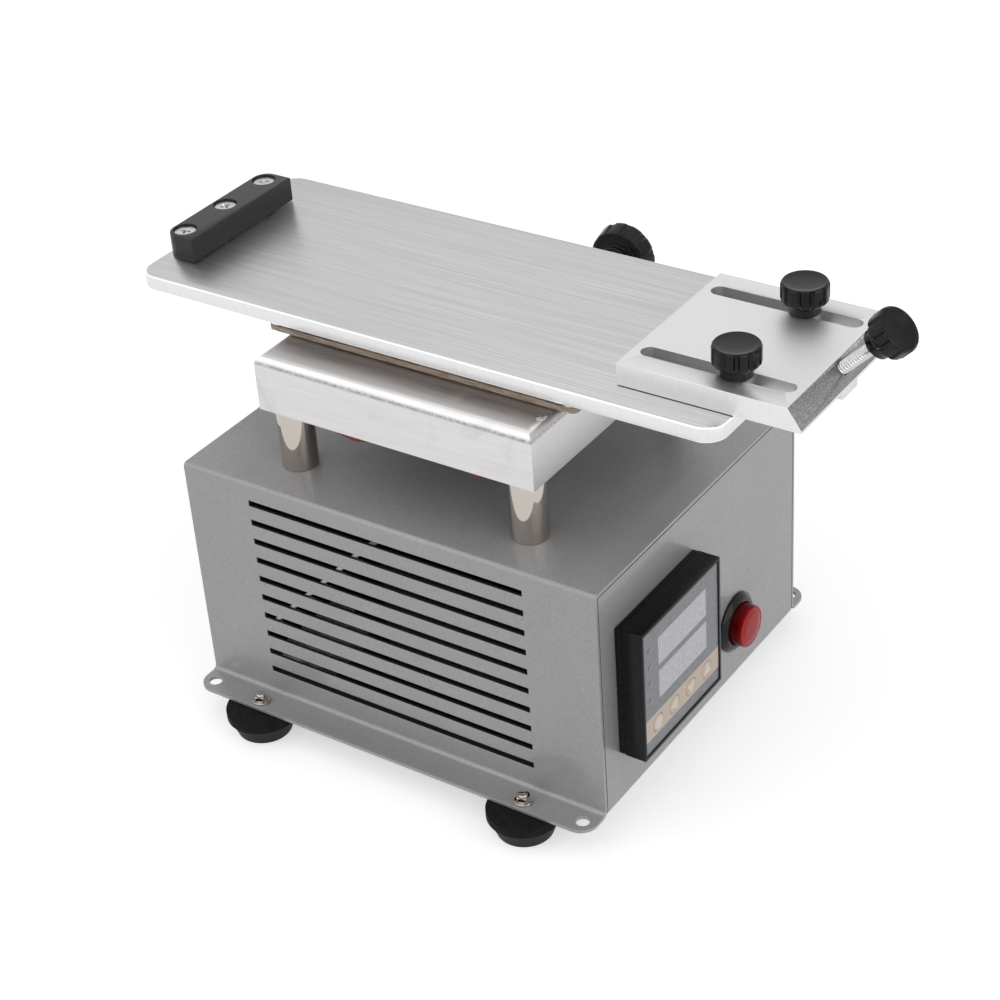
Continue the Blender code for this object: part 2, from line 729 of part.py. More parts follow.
def make_chassis(base):
    """Control panel, bottom and rear panel in one fold, with lips along the cover's walls."""
    top = CASE_TOP - SHEET - GAP
    path = [
        (PANEL_X, top),
        (PANEL_X, FLANGE_BOTTOM),
        (-PANEL_X, FLANGE_BOTTOM),
        (-PANEL_X, top),
    ]
    bm = bmesh.new()
    extruded(bm, folded(path, SHEET, CASE_BEND), -INNER_Y, INNER_Y, ALONG_Y)
    chassis = piece("chassis", bm, "case_paint", base)

    lips = bmesh.new()
    inside = PANEL_X - SHEET
    run = inside - LIP_RELIEF - LIP_HEIGHT
    foot = FLANGE_BOTTOM + SHEET / 2
    for side in (-1, 1):
        near, far = sorted((side * (INNER_Y - SHEET), side * INNER_Y))
        block(lips, (-run, near, foot), (run, far, foot + LIP_HEIGHT))
        for end in (-1, 1):
            first, last = sorted((end * (inside - LIP_HEIGHT), end * (inside + SHEET / 2)))
            low_z = foot + LIP_RELIEF + LIP_HEIGHT
            block(lips, (first, near, low_z), (last, far, top - LIP_RELIEF))
    boolean(chassis, "UNION", lips, base)

    cuts = bmesh.new()
    opening = CONTROLLER_BODY / 2 + GAP
    low = (PANEL_X - CUT_REACH, CONTROLLER_Y - opening, CONTROLLER_Z - opening)
    high = (PANEL_X + CUT_REACH, CONTROLLER_Y + opening, CONTROLLER_Z + opening)
    block(cuts, low, high)
    sheet_hole(cuts, placed((PANEL_X, BUTTON_Y, BUTTON_Z), ALONG_X), BUTTON_BARREL_R + GAP)
    half_width = INLET_WIDTH / 2 + GAP
    half_height = INLET_HEIGHT / 2 + GAP
    low = (-PANEL_X - CUT_REACH, INLET_Y - half_width, INLET_Z - half_height)
    high = (-PANEL_X + CUT_REACH, INLET_Y + half_width, INLET_Z + half_height)
    block(cuts, low, high)
    for side in (-1, 1):
        screw = placed((-PANEL_X, inlet_screw_y(side), INLET_Z), ALONG_X)
        sheet_hole(cuts, screw, INLET_SCREW_R + GAP)
        ear = placed((relay_ear_x(side), RELAY_Y, FLANGE_BOTTOM))
        sheet_hole(cuts, ear, RELAY_SCREW_R + GAP)
    boolean(chassis, "DIFFERENCE", cuts, base)


# Controller


def bezel_front():
    return PANEL_X + GAP + BEZEL_DEPTH


def make_controller(base):
    centre = placed((0, CONTROLLER_Y, CONTROLLER_Z), ALONG_X)
    back = PANEL_X + GAP
    front = bezel_front()
    seam_size = BEZEL_SIZE - 2 * BEZEL_SEAM_STEP
    recess = BEZEL_SIZE - 2 * BEZEL_FRAME
    sections = [
        (CONTROLLER_REAR, CONTROLLER_BODY),
        (back, CONTROLLER_BODY),
        (back, seam_size),
        (back + BEZEL_SEAM, seam_size),
        (back + BEZEL_SEAM, BEZEL_SIZE),
        (front - BEZEL_EDGE, BEZEL_SIZE),
        (front, BEZEL_SIZE - 2 * BEZEL_EDGE),
        (front, recess),
        (front - FACE_RECESS, recess),
    ]
    rings = []
    for height, size in sections:
        outline = rounded(size, size, BEZEL_EDGE, 2)
        rings.append([(x, y, height) for x, y in outline])
    bm = bmesh.new()
    loft(bm, rings, frame=centre)
    housing = piece("controller_housing", bm, "black_plastic", base)

    floor = front - FACE_RECESS
    pocket = bmesh.new()
    key_room = KEY_SIZE + 2 * GAP
    for place in KEY_PLACES:
        outline = rounded(key_room, key_room, KEY_CORNER, 2, (place, KEY_Z))
        extruded(pocket, outline, key_back() - KEY_TRAVEL - GAP, front + GAP, centre)
    boolean(housing, "DIFFERENCE", pocket, base)

    bm = bmesh.new()
    face_size = recess - 2 * GAP
    face_back = floor + GAP
    outline = rounded(face_size, face_size, BEZEL_EDGE, 2)
    extruded(bm, outline, face_back, face_back + FACE_THICKNESS, centre)
    face = piece("controller_face", bm, "grey_face", base)

    cuts = bmesh.new()
    above = face_back + 2 * FACE_THICKNESS
    for place in KEY_PLACES:
        outline = rounded(key_room, key_room, KEY_CORNER, 2, (place, KEY_Z))
        extruded(cuts, outline, floor - FACE_THICKNESS, above, centre)
    for height in (UPPER_WINDOW_Z, LOWER_WINDOW_Z):
        outline = rounded(
            WINDOW_WIDTH + 2 * GAP, WINDOW_HEIGHT + 2 * GAP, GAP, 1, (WINDOW_Y, height)
        )
        extruded(cuts, outline, floor - FACE_THICKNESS, above, centre)
    boolean(face, "DIFFERENCE", cuts, base)

    for name, height in (("display_upper", UPPER_WINDOW_Z), ("display_lower", LOWER_WINDOW_Z)):
        bm = bmesh.new()
        outline = rounded(WINDOW_WIDTH, WINDOW_HEIGHT, GAP, 1, (WINDOW_Y, height))
        extruded(bm, outline, face_back, face_back + WINDOW_THICKNESS, centre)
        piece(name, bm, "window_grey", base)

    bm = bmesh.new()
    clip_front = PANEL_X - SHEET - GAP
    inner = CONTROLLER_BODY + 2 * GAP
    outer = CONTROLLER_BODY + 2 * CLIP_WALL
    rings = []
    for height, size in (
        (clip_front - CLIP_LENGTH, inner),
        (clip_front - CLIP_LENGTH, outer - CLIP_WALL),
        (clip_front - CLIP_LENGTH / 2, outer),
        (clip_front, outer),
        (clip_front, inner),
    ):
        rings.append([(x, y, height) for x, y in rounded(size, size, BEZEL_EDGE, 2)])
    loft(bm, rings, closed=True, frame=centre)
    piece("controller_clip", bm, "black_plastic", base)


def key_back():
    face_front = bezel_front() - FACE_RECESS + GAP + FACE_THICKNESS
    return face_front + KEY_PROUD - KEY_DEPTH


def make_keys(base):
    """Four keys that sink a little when pressed."""
    for index, place in enumerate(KEY_PLACES):
        origin = (key_back(), CONTROLLER_Y + place, CONTROLLER_Z + KEY_Z)
        bm = bmesh.new()
        centre = placed((0, origin[1], origin[2]), ALONG_X)
        front = key_back() + KEY_DEPTH
        rings = []
        for height, inset in ((key_back(), 0), (front - GAP / 2, 0), (front, GAP)):
            size = KEY_SIZE - 2 * inset
            rings.append([(x, y, height) for x, y in rounded(size, size, KEY_CORNER, 2)])
        loft(bm, rings, frame=centre)
        piece(f"key_{index + 1}", bm, "key_tan", base, origin)


# Push button


def make_button(base):
    axis = placed((PANEL_X, BUTTON_Y, BUTTON_Z), ALONG_X)
    bore = CAP_R + GAP
    cap_back = CAP_TRAVEL + GAP - BUTTON_BARREL_LENGTH + BUTTON_FLOOR
    bm = bmesh.new()
    profile = [
        (BUTTON_BARREL_R, -BUTTON_BARREL_LENGTH),
        (BUTTON_BARREL_R, GAP),
        (BUTTON_RING_R, GAP),
        (BUTTON_RING_R, GAP + BUTTON_RING_HEIGHT - BUTTON_RING_EDGE),
        (BUTTON_RING_R - BUTTON_RING_EDGE, GAP + BUTTON_RING_HEIGHT),
        (bore, GAP + BUTTON_RING_HEIGHT),
        (bore, BUTTON_FLOOR - BUTTON_BARREL_LENGTH),
    ]
    turned(bm, profile, axis, sides=WIDE_SIDES)
    piece("button_body", bm, "black_plastic", base)

    bm = bmesh.new()
    profile = [
        (CAP_R, cap_back),
        (CAP_R, CAP_PROUD - CAP_EDGE),
        (CAP_R - CAP_EDGE, CAP_PROUD),
    ]
    turned(bm, profile, axis, sides=WIDE_SIDES)
    origin = (PANEL_X + cap_back, BUTTON_Y, BUTTON_Z)
    piece("start_button", bm, "red_cap", base, origin)

    bm = bmesh.new()
    seat = -SHEET - GAP
    bore = BUTTON_BARREL_R + GAP
    flats = 2 * (BUTTON_BARREL_R + BUTTON_NUT_WALL)
    hex_nut(bm, flats, seat - BUTTON_NUT_HEIGHT, seat, bore, axis)
    piece("button_nut", bm, "black_plastic", base)


# Mains inlet and wiring inside the case


def inlet_outline(width, height, grow=0.0):
    """A three-pin socket's outline, with its two upper corners cut."""
    half = width / 2 + grow
    tall = height / 2 + grow
    cut = INLET_CORNER_CUT
    return [
        (-half, -tall),
        (half, -tall),
        (half, tall - cut),
        (half - cut, tall),
        (cut - half, tall),
        (-half, tall - cut),
    ]


def inlet_screw_y(side):
    return INLET_Y + side * (INLET_WIDTH / 2 + INLET_SCREW_LAP)


def pin_places():
    return [(-PIN_PITCH, -PIN_OFFSET / 2), (0, PIN_OFFSET / 2), (PIN_PITCH, -PIN_OFFSET / 2)]


def make_inlet(base):
    axis = placed((-PANEL_X, INLET_Y, INLET_Z), ALONG_X)
    face = -GAP - INLET_FLANGE_THICKNESS
    bm = bmesh.new()
    outline = inlet_outline(INLET_WIDTH, INLET_HEIGHT)
    extruded(bm, outline, -GAP - INLET_FLANGE_THICKNESS / 2, INLET_DEPTH, axis)
    inlet = piece("mains_inlet", bm, "black_plastic", base)
    flange = bmesh.new()
    outline = rounded(INLET_FLANGE_WIDTH, INLET_FLANGE_HEIGHT, INLET_FLANGE_CORNER, 3)
    extruded(flange, outline, face, -GAP, axis)
    boolean(inlet, "UNION", flange, base)
    cuts = bmesh.new()
    outline = inlet_outline(INLET_WIDTH, INLET_HEIGHT, -INLET_WALL)
    extruded(cuts, outline, face - GAP, INLET_DEPTH - INLET_FLOOR, axis)
    for index, side in enumerate((-1, 1)):
        place = (-PANEL_X + face - GAP, inlet_screw_y(side), INLET_Z)
        frame = placed(place, ALONG_X)
        length = INLET_FLANGE_THICKNESS + INLET_SCREW_REACH
        screw = bmesh.new()
        pan_screw(screw, frame, INLET_HEAD_R, INLET_HEAD_HEIGHT, INLET_SCREW_R, length)
        piece(f"inlet_screw_{index + 1}", screw, "nickel", base, place)
        round_bar(cuts, frame, INLET_SCREW_R + GAP, -GAP, INLET_FLANGE_THICKNESS + 2 * GAP)
    boolean(inlet, "DIFFERENCE", cuts, base)
    pins = bmesh.new()
    for y, z in pin_places():
        foot = (-PANEL_X + face + PIN_RECESS, INLET_Y + y, INLET_Z + z)
        corner = Vector((0, PIN_WIDTH / 2, PIN_HEIGHT / 2))
        block(pins, Vector(foot) - corner, Vector((PIN_END_X, *foot[1:])) + corner)
    boolean(inlet, "UNION", pins, base)


def relay_ear_x(side):
    return RELAY_X + side * (RELAY_LENGTH - RELAY_END) / 2


def make_relay(base):
    """A solid-state relay on the case's bottom, held at both ends."""
    floor = FLANGE_TOP + GAP
    half = RELAY_LENGTH / 2
    profile = [
        (-half, 0),
        (half, 0),
        (half, RELAY_EAR_HEIGHT),
        (half - RELAY_END, RELAY_EAR_HEIGHT),
        (half - RELAY_END, RELAY_SHOULDER),
        (half - RELAY_SHOULDER, RELAY_HEIGHT),
        (RELAY_SHOULDER - half, RELAY_HEIGHT),
        (RELAY_END - half, RELAY_SHOULDER),
        (RELAY_END - half, RELAY_EAR_HEIGHT),
        (-half, RELAY_EAR_HEIGHT),
    ]
    bm = bmesh.new()
    frame = placed((RELAY_X, RELAY_Y, floor), ALONG_Y)
    extruded(bm, profile, -RELAY_WIDTH / 2, RELAY_WIDTH / 2, frame)
    relay = piece("relay", bm, "white_plastic", base)
    screws = bmesh.new()
    for side in (-1, 1):
        top = floor + RELAY_EAR_HEIGHT - GAP
        frame = placed((relay_ear_x(side), RELAY_Y, top), UPSIDE_DOWN)
        length = top - FLANGE_BOTTOM
        pan_screw(screws, frame, RELAY_HEAD_R, RELAY_HEAD_HEIGHT, RELAY_SCREW_R, length)
    boolean(relay, "UNION", screws, base)


def terminal_mouth_z():
    return FLANGE_TOP + GAP + TERMINAL_SHOULDER / 2


def make_terminals(base):
    """A stepped screw terminal block for the supply."""
    floor = FLANGE_TOP + GAP
    half = TERMINAL_WIDTH / 2
    profile = [
        (-half, 0),
        (half, 0),
        (half, TERMINAL_SHOULDER),
        (half - TERMINAL_STEP, TERMINAL_SHOULDER),
        (half - TERMINAL_STEP, TERMINAL_HEIGHT),
        (TERMINAL_STEP - half, TERMINAL_HEIGHT),
        (TERMINAL_STEP - half, TERMINAL_SHOULDER),
        (-half, TERMINAL_SHOULDER),
    ]
    bm = bmesh.new()
    frame = placed((TERMINAL_X, TERMINAL_Y, floor), ALONG_Y)
    extruded(bm, profile, -TERMINAL_LENGTH / 2, TERMINAL_LENGTH / 2, frame)
    terminals = piece("terminal_block", bm, "white_plastic", base)
    cuts = bmesh.new()
    for index in range(TERMINAL_WAYS):
        offset = (index - (TERMINAL_WAYS - 1) / 2) * TERMINAL_PITCH
        mouth = placed((TERMINAL_X, TERMINAL_Y + offset, terminal_mouth_z()), ALONG_X)
        round_bar(cuts, mouth, TERMINAL_MOUTH_R, -half - GAP, half + GAP)
    boolean(terminals, "DIFFERENCE", cuts, base)


def inner_route():
    """From the terminal block, up the inside of the front wall and over into the controller."""
    mouth_x = TERMINAL_X - TERMINAL_WIDTH / 2 - LEAD_END_GAP
    mouth_y = TERMINAL_Y - TERMINAL_PITCH
    mouth_z = terminal_mouth_z()
    from_wall = [
        (-0.0620, 0.0064, FLANGE_TOP + 0.0110),
        (-0.0603, 0.0051, FLANGE_TOP + 0.0155),
        (-0.0573, 0.0044, FLANGE_TOP + 0.0202),
        (-0.0499, 0.0040, FLANGE_TOP + 0.0278),
        (-0.0280, 0.0040, CASE_TOP - 0.0327),
        (-0.0100, 0.0044, CASE_TOP - 0.0142),
        (-0.0030, 0.0084, CASE_TOP - 0.0083),
        (-0.0080, 0.0184, CASE_TOP - 0.0078),
    ]
    from_rear = [(0.0062, 0.0057, 0.0262), (0.0073, 0.0007, 0.0162), (0.0061, 0, 0.0105)]
    from_rear += [(0.0031, 0, 0.0092), (LEAD_END_GAP, 0, 0.0092)]
    route = [(mouth_x, mouth_y, mouth_z), (mouth_x - INNER_LEAD_R, mouth_y, mouth_z)]
    route += [(x, y - WALL_Y, z) for x, y, z in from_wall]
    for x, y, z in from_rear:
        route.append((CONTROLLER_REAR - x, CONTROLLER_Y - y, CONTROLLER_Z + z))
    return route


def supply_route():
    """From the inlet's upper pin down to the relay's end."""
    relay_end = RELAY_X - RELAY_LENGTH / 2 + RELAY_END
    steps = [(0, 0.0020), (0.0022, 0.0020), (0.0057, -0.0005), (0.0069, -0.0090), (0.0087, -0.0142)]
    route = [(PIN_END_X + LEAD_END_GAP + x, INLET_Y, INLET_Z + z) for x, z in steps]
    return [*route, (relay_end - LEAD_END_GAP, INLET_Y, INLET_Z - 0.0150)]


def heater_route():
    """Out of the case near the pivot, two sags along the box's front wall, into the hollow pivot."""
    x, y = GROMMET_PLACE
    front = -BOX_SIZE / 2 + SHEET + LEAD_WALL_GAP + HEATER_LEAD_R
    route = [(x, y, CASE_TOP + rise) for rise in (-0.0078, -0.0028, 0.0032)]
    for dx, dy, z in ((-0.0008, -0.0012, 0.0082), (-0.0045, -0.0070, 0.0173)):
        route.append((x + dx, y + dy, CASE_TOP + z))
    route.append((x - 0.0140, y - 0.0260, BOX_BOTTOM + 0.0028))
    for along, off, rise in (
        (-0.0330, 0.0084, 0.0038),
        (-0.0260, 0.0006, 0.0008),
        (-0.0165, 0, -0.0018),
        (-0.0070, 0, 0.0008),
        (0.0080, 0.0004, 0.0038),
        (POST_X - 0.0199, 0, 0.0003),
        (POST_X - 0.0139, 0, -0.0015),
        (POST_X - 0.0109, 0.0034, 0.0008),
        (POST_X - 0.0169, 0.0194, 0.0023),
    ):
        route.append((along, front + off, BOX_BOTTOM + rise))
    route += [(0.0110, -0.0140, BOX_BOTTOM - 0.0032), (0.0020, -0.0040, BOX_BOTTOM - 0.0062)]
    route += [(0, 0, BOX_BOTTOM - 0.0027), (0, 0, BOX_BOTTOM + 0.0023), (0, 0, BOX_TOP)]
    return route


def make_leads(base):
    lead("inner_lead", inner_route(), INNER_LEAD_R, "pale_sleeve", base)
    lead("supply_lead", supply_route(), SUPPLY_LEAD_R, "pale_sleeve", base)
    lead("heater_lead", heater_route(), HEATER_LEAD_R, "red_silicone", base)


def make_grommet(base):
    """A rubber grommet that grips the case top's sheet."""
    neck = GROMMET_HOLE_R - GAP
    bore = HEATER_LEAD_R + GAP
    under = -SHEET - GAP
    profile = [
        (bore, under - GROMMET_FLANGE_HEIGHT),
        (neck, under - GROMMET_FLANGE_HEIGHT),
        (GROMMET_FLANGE_R, under),
        (neck, under),
        (neck, GAP),
        (GROMMET_FLANGE_R, GAP),
        (neck, GAP + GROMMET_FLANGE_HEIGHT),
        (bore, GAP + GROMMET_FLANGE_HEIGHT),
    ]
    bm = bmesh.new()
    frame = placed((*GROMMET_PLACE, CASE_TOP))
    turned(bm, profile, frame, closed=True, sides=HOLE_SIDES)
    piece("lead_grommet", bm, "rubber", base)


# Posts and heater box


def make_posts(base):
    """Each post with a screw from inside the case and one from inside the heater box."""
    low = CASE_TOP + GAP
    high = BOX_BOTTOM - GAP
    case_seat = CASE_TOP - SHEET - GAP
    box_seat = BOX_BOTTOM + SHEET + GAP
    body = [
        (POST_SCREW_R, case_seat),
        (POST_SCREW_R, low),
        (POST_R - POST_EDGE, low),
        (POST_R, low + POST_EDGE),
        (POST_R, high - POST_EDGE),
        (POST_R - POST_EDGE, high),
        (POST_SCREW_R, high),
        (POST_SCREW_R, box_seat),
    ]
    rings = [
        *pan_head(POST_HEAD_R, POST_HEAD_HEIGHT, case_seat, ROUND_SIDES),
        *[circle(radius, height, ROUND_SIDES) for radius, height in body],
        *pan_head(POST_HEAD_R, -POST_HEAD_HEIGHT, box_seat, ROUND_SIDES)[::-1],
    ]
    for index, (x, y) in enumerate(mirrored(POST_X, POST_Y)):
        bm = bmesh.new()
        loft(bm, rings, frame=placed((x, y, 0)))
        piece(f"post_{index + 1}", bm, "nickel", base, (x, y, low))


def make_heater_box(base):
    """A pan folded down on four sides, with mitred bends, open below."""
    half = BOX_SIZE / 2
    bm = bmesh.new()
    block(bm, (-half, -half, BOX_BOTTOM), (half, half, BOX_TOP))
    top_edges = [edge for edge in bm.edges if min(vert.co.z for vert in edge.verts) > BOX_TOP - GAP]
    bevel(bm, top_edges, BOX_BEND, 4)
    open_face = min(bm.faces, key=lambda face: face.calc_center_median().z)
    bmesh.ops.recalc_face_normals(bm, faces=bm.faces)
    bmesh.ops.delete(bm, geom=[open_face], context="FACES_ONLY")
    box = piece("heater_box", bm, "satin_steel", base)
    fold = box.modifiers.new("Sheet", "SOLIDIFY")
    fold.thickness = SHEET
    fold.offset = -1
    fold.use_even_offset = True
    flanges = bmesh.new()
    flange_end = half - BOX_FLANGE_END
    for side in (-1, 1):
        near, far = sorted((side * (half - SHEET / 2), side * (half - SHEET - BOX_FLANGE_WIDTH)))
        block(flanges, (near, -flange_end, BOX_BOTTOM), (far, flange_end, BOX_BOTTOM + SHEET))
    boolean(box, "UNION", flanges, base)
    cuts = bmesh.new()
    for x, y in mirrored(POST_X, POST_Y):
        sheet_hole(cuts, placed((x, y, BOX_BOTTOM)), POST_SCREW_R + GAP)
    sheet_hole(cuts, placed((0, 0, BOX_TOP)), BARREL_R + GAP)
    sheet_hole(cuts, placed((BRAKE_X, half, BRAKE_Z), ALONG_Y), BRAKE_SCREW_R + GAP)
    boolean(box, "DIFFERENCE", cuts, base)


# Pivot and brake


def make_pivot(base, turntable):
    bm = bmesh.new()
    profile = [
        (BARREL_BORE_R, BARREL_FOOT),
        (BARREL_R, BARREL_FOOT),
        (BARREL_R, HUB_BOTTOM),
        (HUB_R, HUB_BOTTOM),
        (HUB_R, HUB_BOTTOM + HUB_THICKNESS),
        (BARREL_BORE_R, HUB_BOTTOM + HUB_THICKNESS),
    ]
    turned(bm, profile, closed=True, sides=WIDE_SIDES)
    hub = piece("pivot_hub", bm, "plain_steel", turntable)
    cuts = bmesh.new()
    half = HEATER_LEAD_R + 2 * GAP
    low = (-half, -HUB_R - GAP, HUB_BOTTOM - GAP)
    block(cuts, low, (half, 0, HUB_BOTTOM + HUB_THICKNESS + GAP))
    boolean(hub, "DIFFERENCE", cuts, base)
    screws = bmesh.new()
    for x, y in hub_screw_places():
        low = HUB_THICKNESS / 2
        round_bar(screws, placed((x, y, HUB_BOTTOM)), HUB_SCREW_R, low, HUB_SCREW_LENGTH)
    boolean(hub, "UNION", screws, base)

    bm = bmesh.new()
    washer_low = BOX_TOP + GAP
    bore = BARREL_R + GAP
    profile = [
        (bore, washer_low),
        (WASHER_R, washer_low),
        (WASHER_R, washer_low + WASHER_THICKNESS),
        (bore, washer_low + WASHER_THICKNESS),
    ]
    turned(bm, profile, closed=True, sides=WIDE_SIDES)
    piece("thrust_washer", bm, "brass", base)

    bm = bmesh.new()
    low = COLLAR_FOOT - GAP - HUB_NUT_HEIGHT
    flats = 2 * (BARREL_R + HUB_NUT_WALL)
    hex_nut(bm, flats, low, low + HUB_NUT_HEIGHT, BARREL_R + GAP)
    piece("hub_nut", bm, "plain_steel", turntable)


def hub_screw_places():
    """Round the barrel, clear of the lead's slot."""
    turn = math.pi / HUB_SCREWS
    return [(x, y) for x, y, _ in circle(HUB_R - HUB_SCREW_INSET, 0, HUB_SCREWS, turn)]


def make_brake(base, brake):
    half = BARREL_R + COLLAR_WALL
    ear = BRAKE_X + BRAKE_EAR
    top = BOX_TOP - SHEET - GAP
    bm = bmesh.new()
    outline = rounded(half + ear, 2 * half, COLLAR_CORNER, 3, ((ear - half) / 2, 0))
    extruded(bm, outline, COLLAR_FOOT, top)
    collar = piece("brake_collar", bm, "brushed_aluminium", base)
    cuts = bmesh.new()
    turned(cuts, [(BARREL_R + GAP, COLLAR_FOOT - GAP), (BARREL_R + GAP, top + GAP)], sides=WIDE_SIDES)
    boolean(collar, "DIFFERENCE", cuts, base)
    slit = bmesh.new()
    low = (0, -COLLAR_SLOT / 2, COLLAR_FOOT - GAP)
    block(slit, low, (ear + GAP, COLLAR_SLOT / 2, top + GAP))
    boolean(collar, "DIFFERENCE", slit, base)
    screw_axis = placed((BRAKE_X, 0, BRAKE_Z), ALONG_Y)
    bores = bmesh.new()
    round_bar(bores, screw_axis, BRAKE_SCREW_R + GAP, -half - GAP, half + GAP)
    boolean(collar, "DIFFERENCE", bores, base)

    outward = Matrix.Rotation(-math.pi / 2, 4, "X")
    origin = (BRAKE_X, BRAKE_KNOB_Y, BRAKE_Z)
    knob = bmesh.new()
    bore_depth = BRAKE_HUB_HEIGHT + BRAKE_KNOB_HEIGHT / 2
    rings = knob_rings(
        BRAKE_HUB_R,
        BRAKE_HUB_HEIGHT,
        BRAKE_KNOB_NEAR_R,
        BRAKE_KNOB_R,
        BRAKE_KNOB_HEIGHT,
        BRAKE_SCREW_R + GAP,
        bore_depth,
        BRAKE_FLUTES,
    )
    loft(knob, rings, frame=placed(origin, outward))
    piece("brake_knob", knob, "black_plastic", brake, origin)
    screw = bmesh.new()
    end = bore_depth - GAP
    start = -BRAKE_KNOB_Y - half
    round_bar(screw, placed(origin, outward), BRAKE_SCREW_R, start, end)
    piece("brake_screw", screw, "zinc", brake, origin)


def fluted(radius, height, flutes, depth):
    """A circle with grooves of the given depth, each between two ridge points."""
    points = circle(1, height, FLUTE_POINTS * flutes)
    found = []
    for index, (x, y, z) in enumerate(points):
        reach = radius if index % FLUTE_POINTS else radius - depth
        found.append((x * reach, y * reach, z))
    return found


def knob_rings(hub, hub_height, near, far, height, core, core_end, flutes):
    """A fluted knob on its hub, from the end of its stud or blind bore to its dished top."""
    sides = FLUTE_POINTS * flutes
    top = hub_height + height
    edge = KNOB_FLUTE_DEPTH
    under = (near - hub) / 2
    return [
        circle(core, core_end, sides),
        circle(core, 0, sides),
        circle(hub, 0, sides),
        circle(hub, hub_height, sides),
        fluted(near, hub_height + under, flutes, KNOB_FLUTE_DEPTH),
        fluted(far, top - edge, flutes, KNOB_FLUTE_DEPTH),
        circle(far - edge, top, sides),
        circle(far - 2 * edge, top - KNOB_DISH, sides),
    ]


# Heating plate and its layers


def make_plate(base, turntable):
    bm = bmesh.new()
    ring = PLATE_CHAMFER
    rings = []
    for height, inset in (
        (PLATE_BOTTOM, ring),
        (PLATE_BOTTOM + ring, 0),
        (PLATE_TOP - ring, 0),
        (PLATE_TOP, ring),
    ):
        outline = rounded(PLATE_LENGTH - 2 * inset, PLATE_WIDTH - 2 * inset, PLATE_CORNER - inset)
        rings.append([(x, y, height) for x, y in outline])
    loft(bm, rings)
    plate = piece("heating_plate", bm, "brushed_aluminium", turntable)
    cuts = bmesh.new()
    for x, y in hub_screw_places():
        top = HUB_SCREW_LENGTH + GAP
        round_bar(cuts, placed((x, y, HUB_BOTTOM)), HUB_SCREW_R + GAP, HUB_THICKNESS, top)
    for x, y in mirrored(BOARD_SCREW_X, BOARD_SCREW_Y):
        top = BOARD_SCREW_GRIP + GAP
        round_bar(cuts, placed((x, y, PLATE_BOTTOM)), BOARD_SCREW_R + GAP, -GAP, top)
    for place in stop_screw_places():
        round_bar(cuts, placed(place), STOP_SCREW_R + GAP, -stop_screw_length() - GAP, 0)
    for side in (-1, 1):
        frame = placed((LOCK_X, side * SLOT_Y, PLATE_BOTTOM))
        round_bar(cuts, frame, STUD_R + GAP, -GAP, PLATE_THICKNESS + GAP)
    boolean(plate, "DIFFERENCE", cuts, base)


def make_layers(base, turntable):
    """Silicone heater, insulation pad and the brown board, round the hub."""
    layers = (
        ("heater_mat", "heater_orange", PLATE_BOTTOM - GAP - MAT_THICKNESS, MAT_THICKNESS),
        ("insulation_pad", "felt_white", BOARD_TOP + GAP, PAD_THICKNESS),
    )
    for name, colour, low, thickness in layers:
        bm = bmesh.new()
        corner = BOARD_CORNER
        extruded(bm, rounded(MAT_LENGTH, MAT_WIDTH, corner, 3), low, low + thickness)
        layer = piece(name, bm, colour, turntable)
        cuts = bmesh.new()
        turned(cuts, [(HUB_HOLE_R, low - GAP), (HUB_HOLE_R, low + thickness + GAP)], sides=WIDE_SIDES)
        boolean(layer, "DIFFERENCE", cuts, base)

    bm = bmesh.new()
    extruded(bm, rounded(BOARD_LENGTH, BOARD_WIDTH, BOARD_CORNER, 3), BOARD_BOTTOM, BOARD_TOP)
    board = piece("insulation_board", bm, "mica_brown", turntable)
    cuts = bmesh.new()
    turned(cuts, [(HUB_HOLE_R, BOARD_BOTTOM - GAP), (HUB_HOLE_R, BOARD_TOP + GAP)], sides=WIDE_SIDES)
    profile = [
        (BOARD_HEAD_R, BOARD_BOTTOM),
        (BOARD_SCREW_R, BOARD_BOTTOM + BOARD_HEAD_R - BOARD_SCREW_R),
        (BOARD_SCREW_R, BOARD_TOP + GAP),
        (SPACER_R, BOARD_TOP + GAP),
        (SPACER_R, PLATE_BOTTOM - GAP),
        (BOARD_SCREW_R, PLATE_BOTTOM - GAP),
        (BOARD_SCREW_R, PLATE_BOTTOM + BOARD_SCREW_GRIP),
    ]
    for index, (x, y) in enumerate(mirrored(BOARD_SCREW_X, BOARD_SCREW_Y)):
        frame = placed((x, y, BOARD_BOTTOM), UPSIDE_DOWN)
        countersunk(cuts, frame, BOARD_HEAD_R, BOARD_SCREW_R, 2 * BOARD_THICKNESS, GAP)
        screw = bmesh.new()
        turned(screw, profile, placed((x, y, 0)), sides=HOLE_SIDES)
        piece(f"board_screw_{index + 1}", screw, "zinc", turntable, (x, y, BOARD_BOTTOM))
    boolean(board, "DIFFERENCE", cuts, base)

    middle = HUB_BOTTOM + HUB_THICKNESS / 2
    route = (
        (0, 0, BOARD_TOP + GAP),
        (0, -HEATER_LEAD_R, middle),
        (0, -HUB_R / 2, middle),
        (0, -HUB_HOLE_R + GAP, middle),
    )
    lead("mat_lead", route, HEATER_LEAD_R - GAP, "red_silicone", turntable)


# Stop block


def stop_screw_places():
    x = STOP_LEFT + STOP_SCREW_INSET
    top = CLAMP_BOTTOM + STOP_HEIGHT - GAP
    return [(x, step * STOP_SCREW_PITCH - STOP_OFFSET, top) for step in (-1, 0, 1)]


def stop_screw_length():
    return STOP_HEIGHT + STOP_SCREW_GRIP


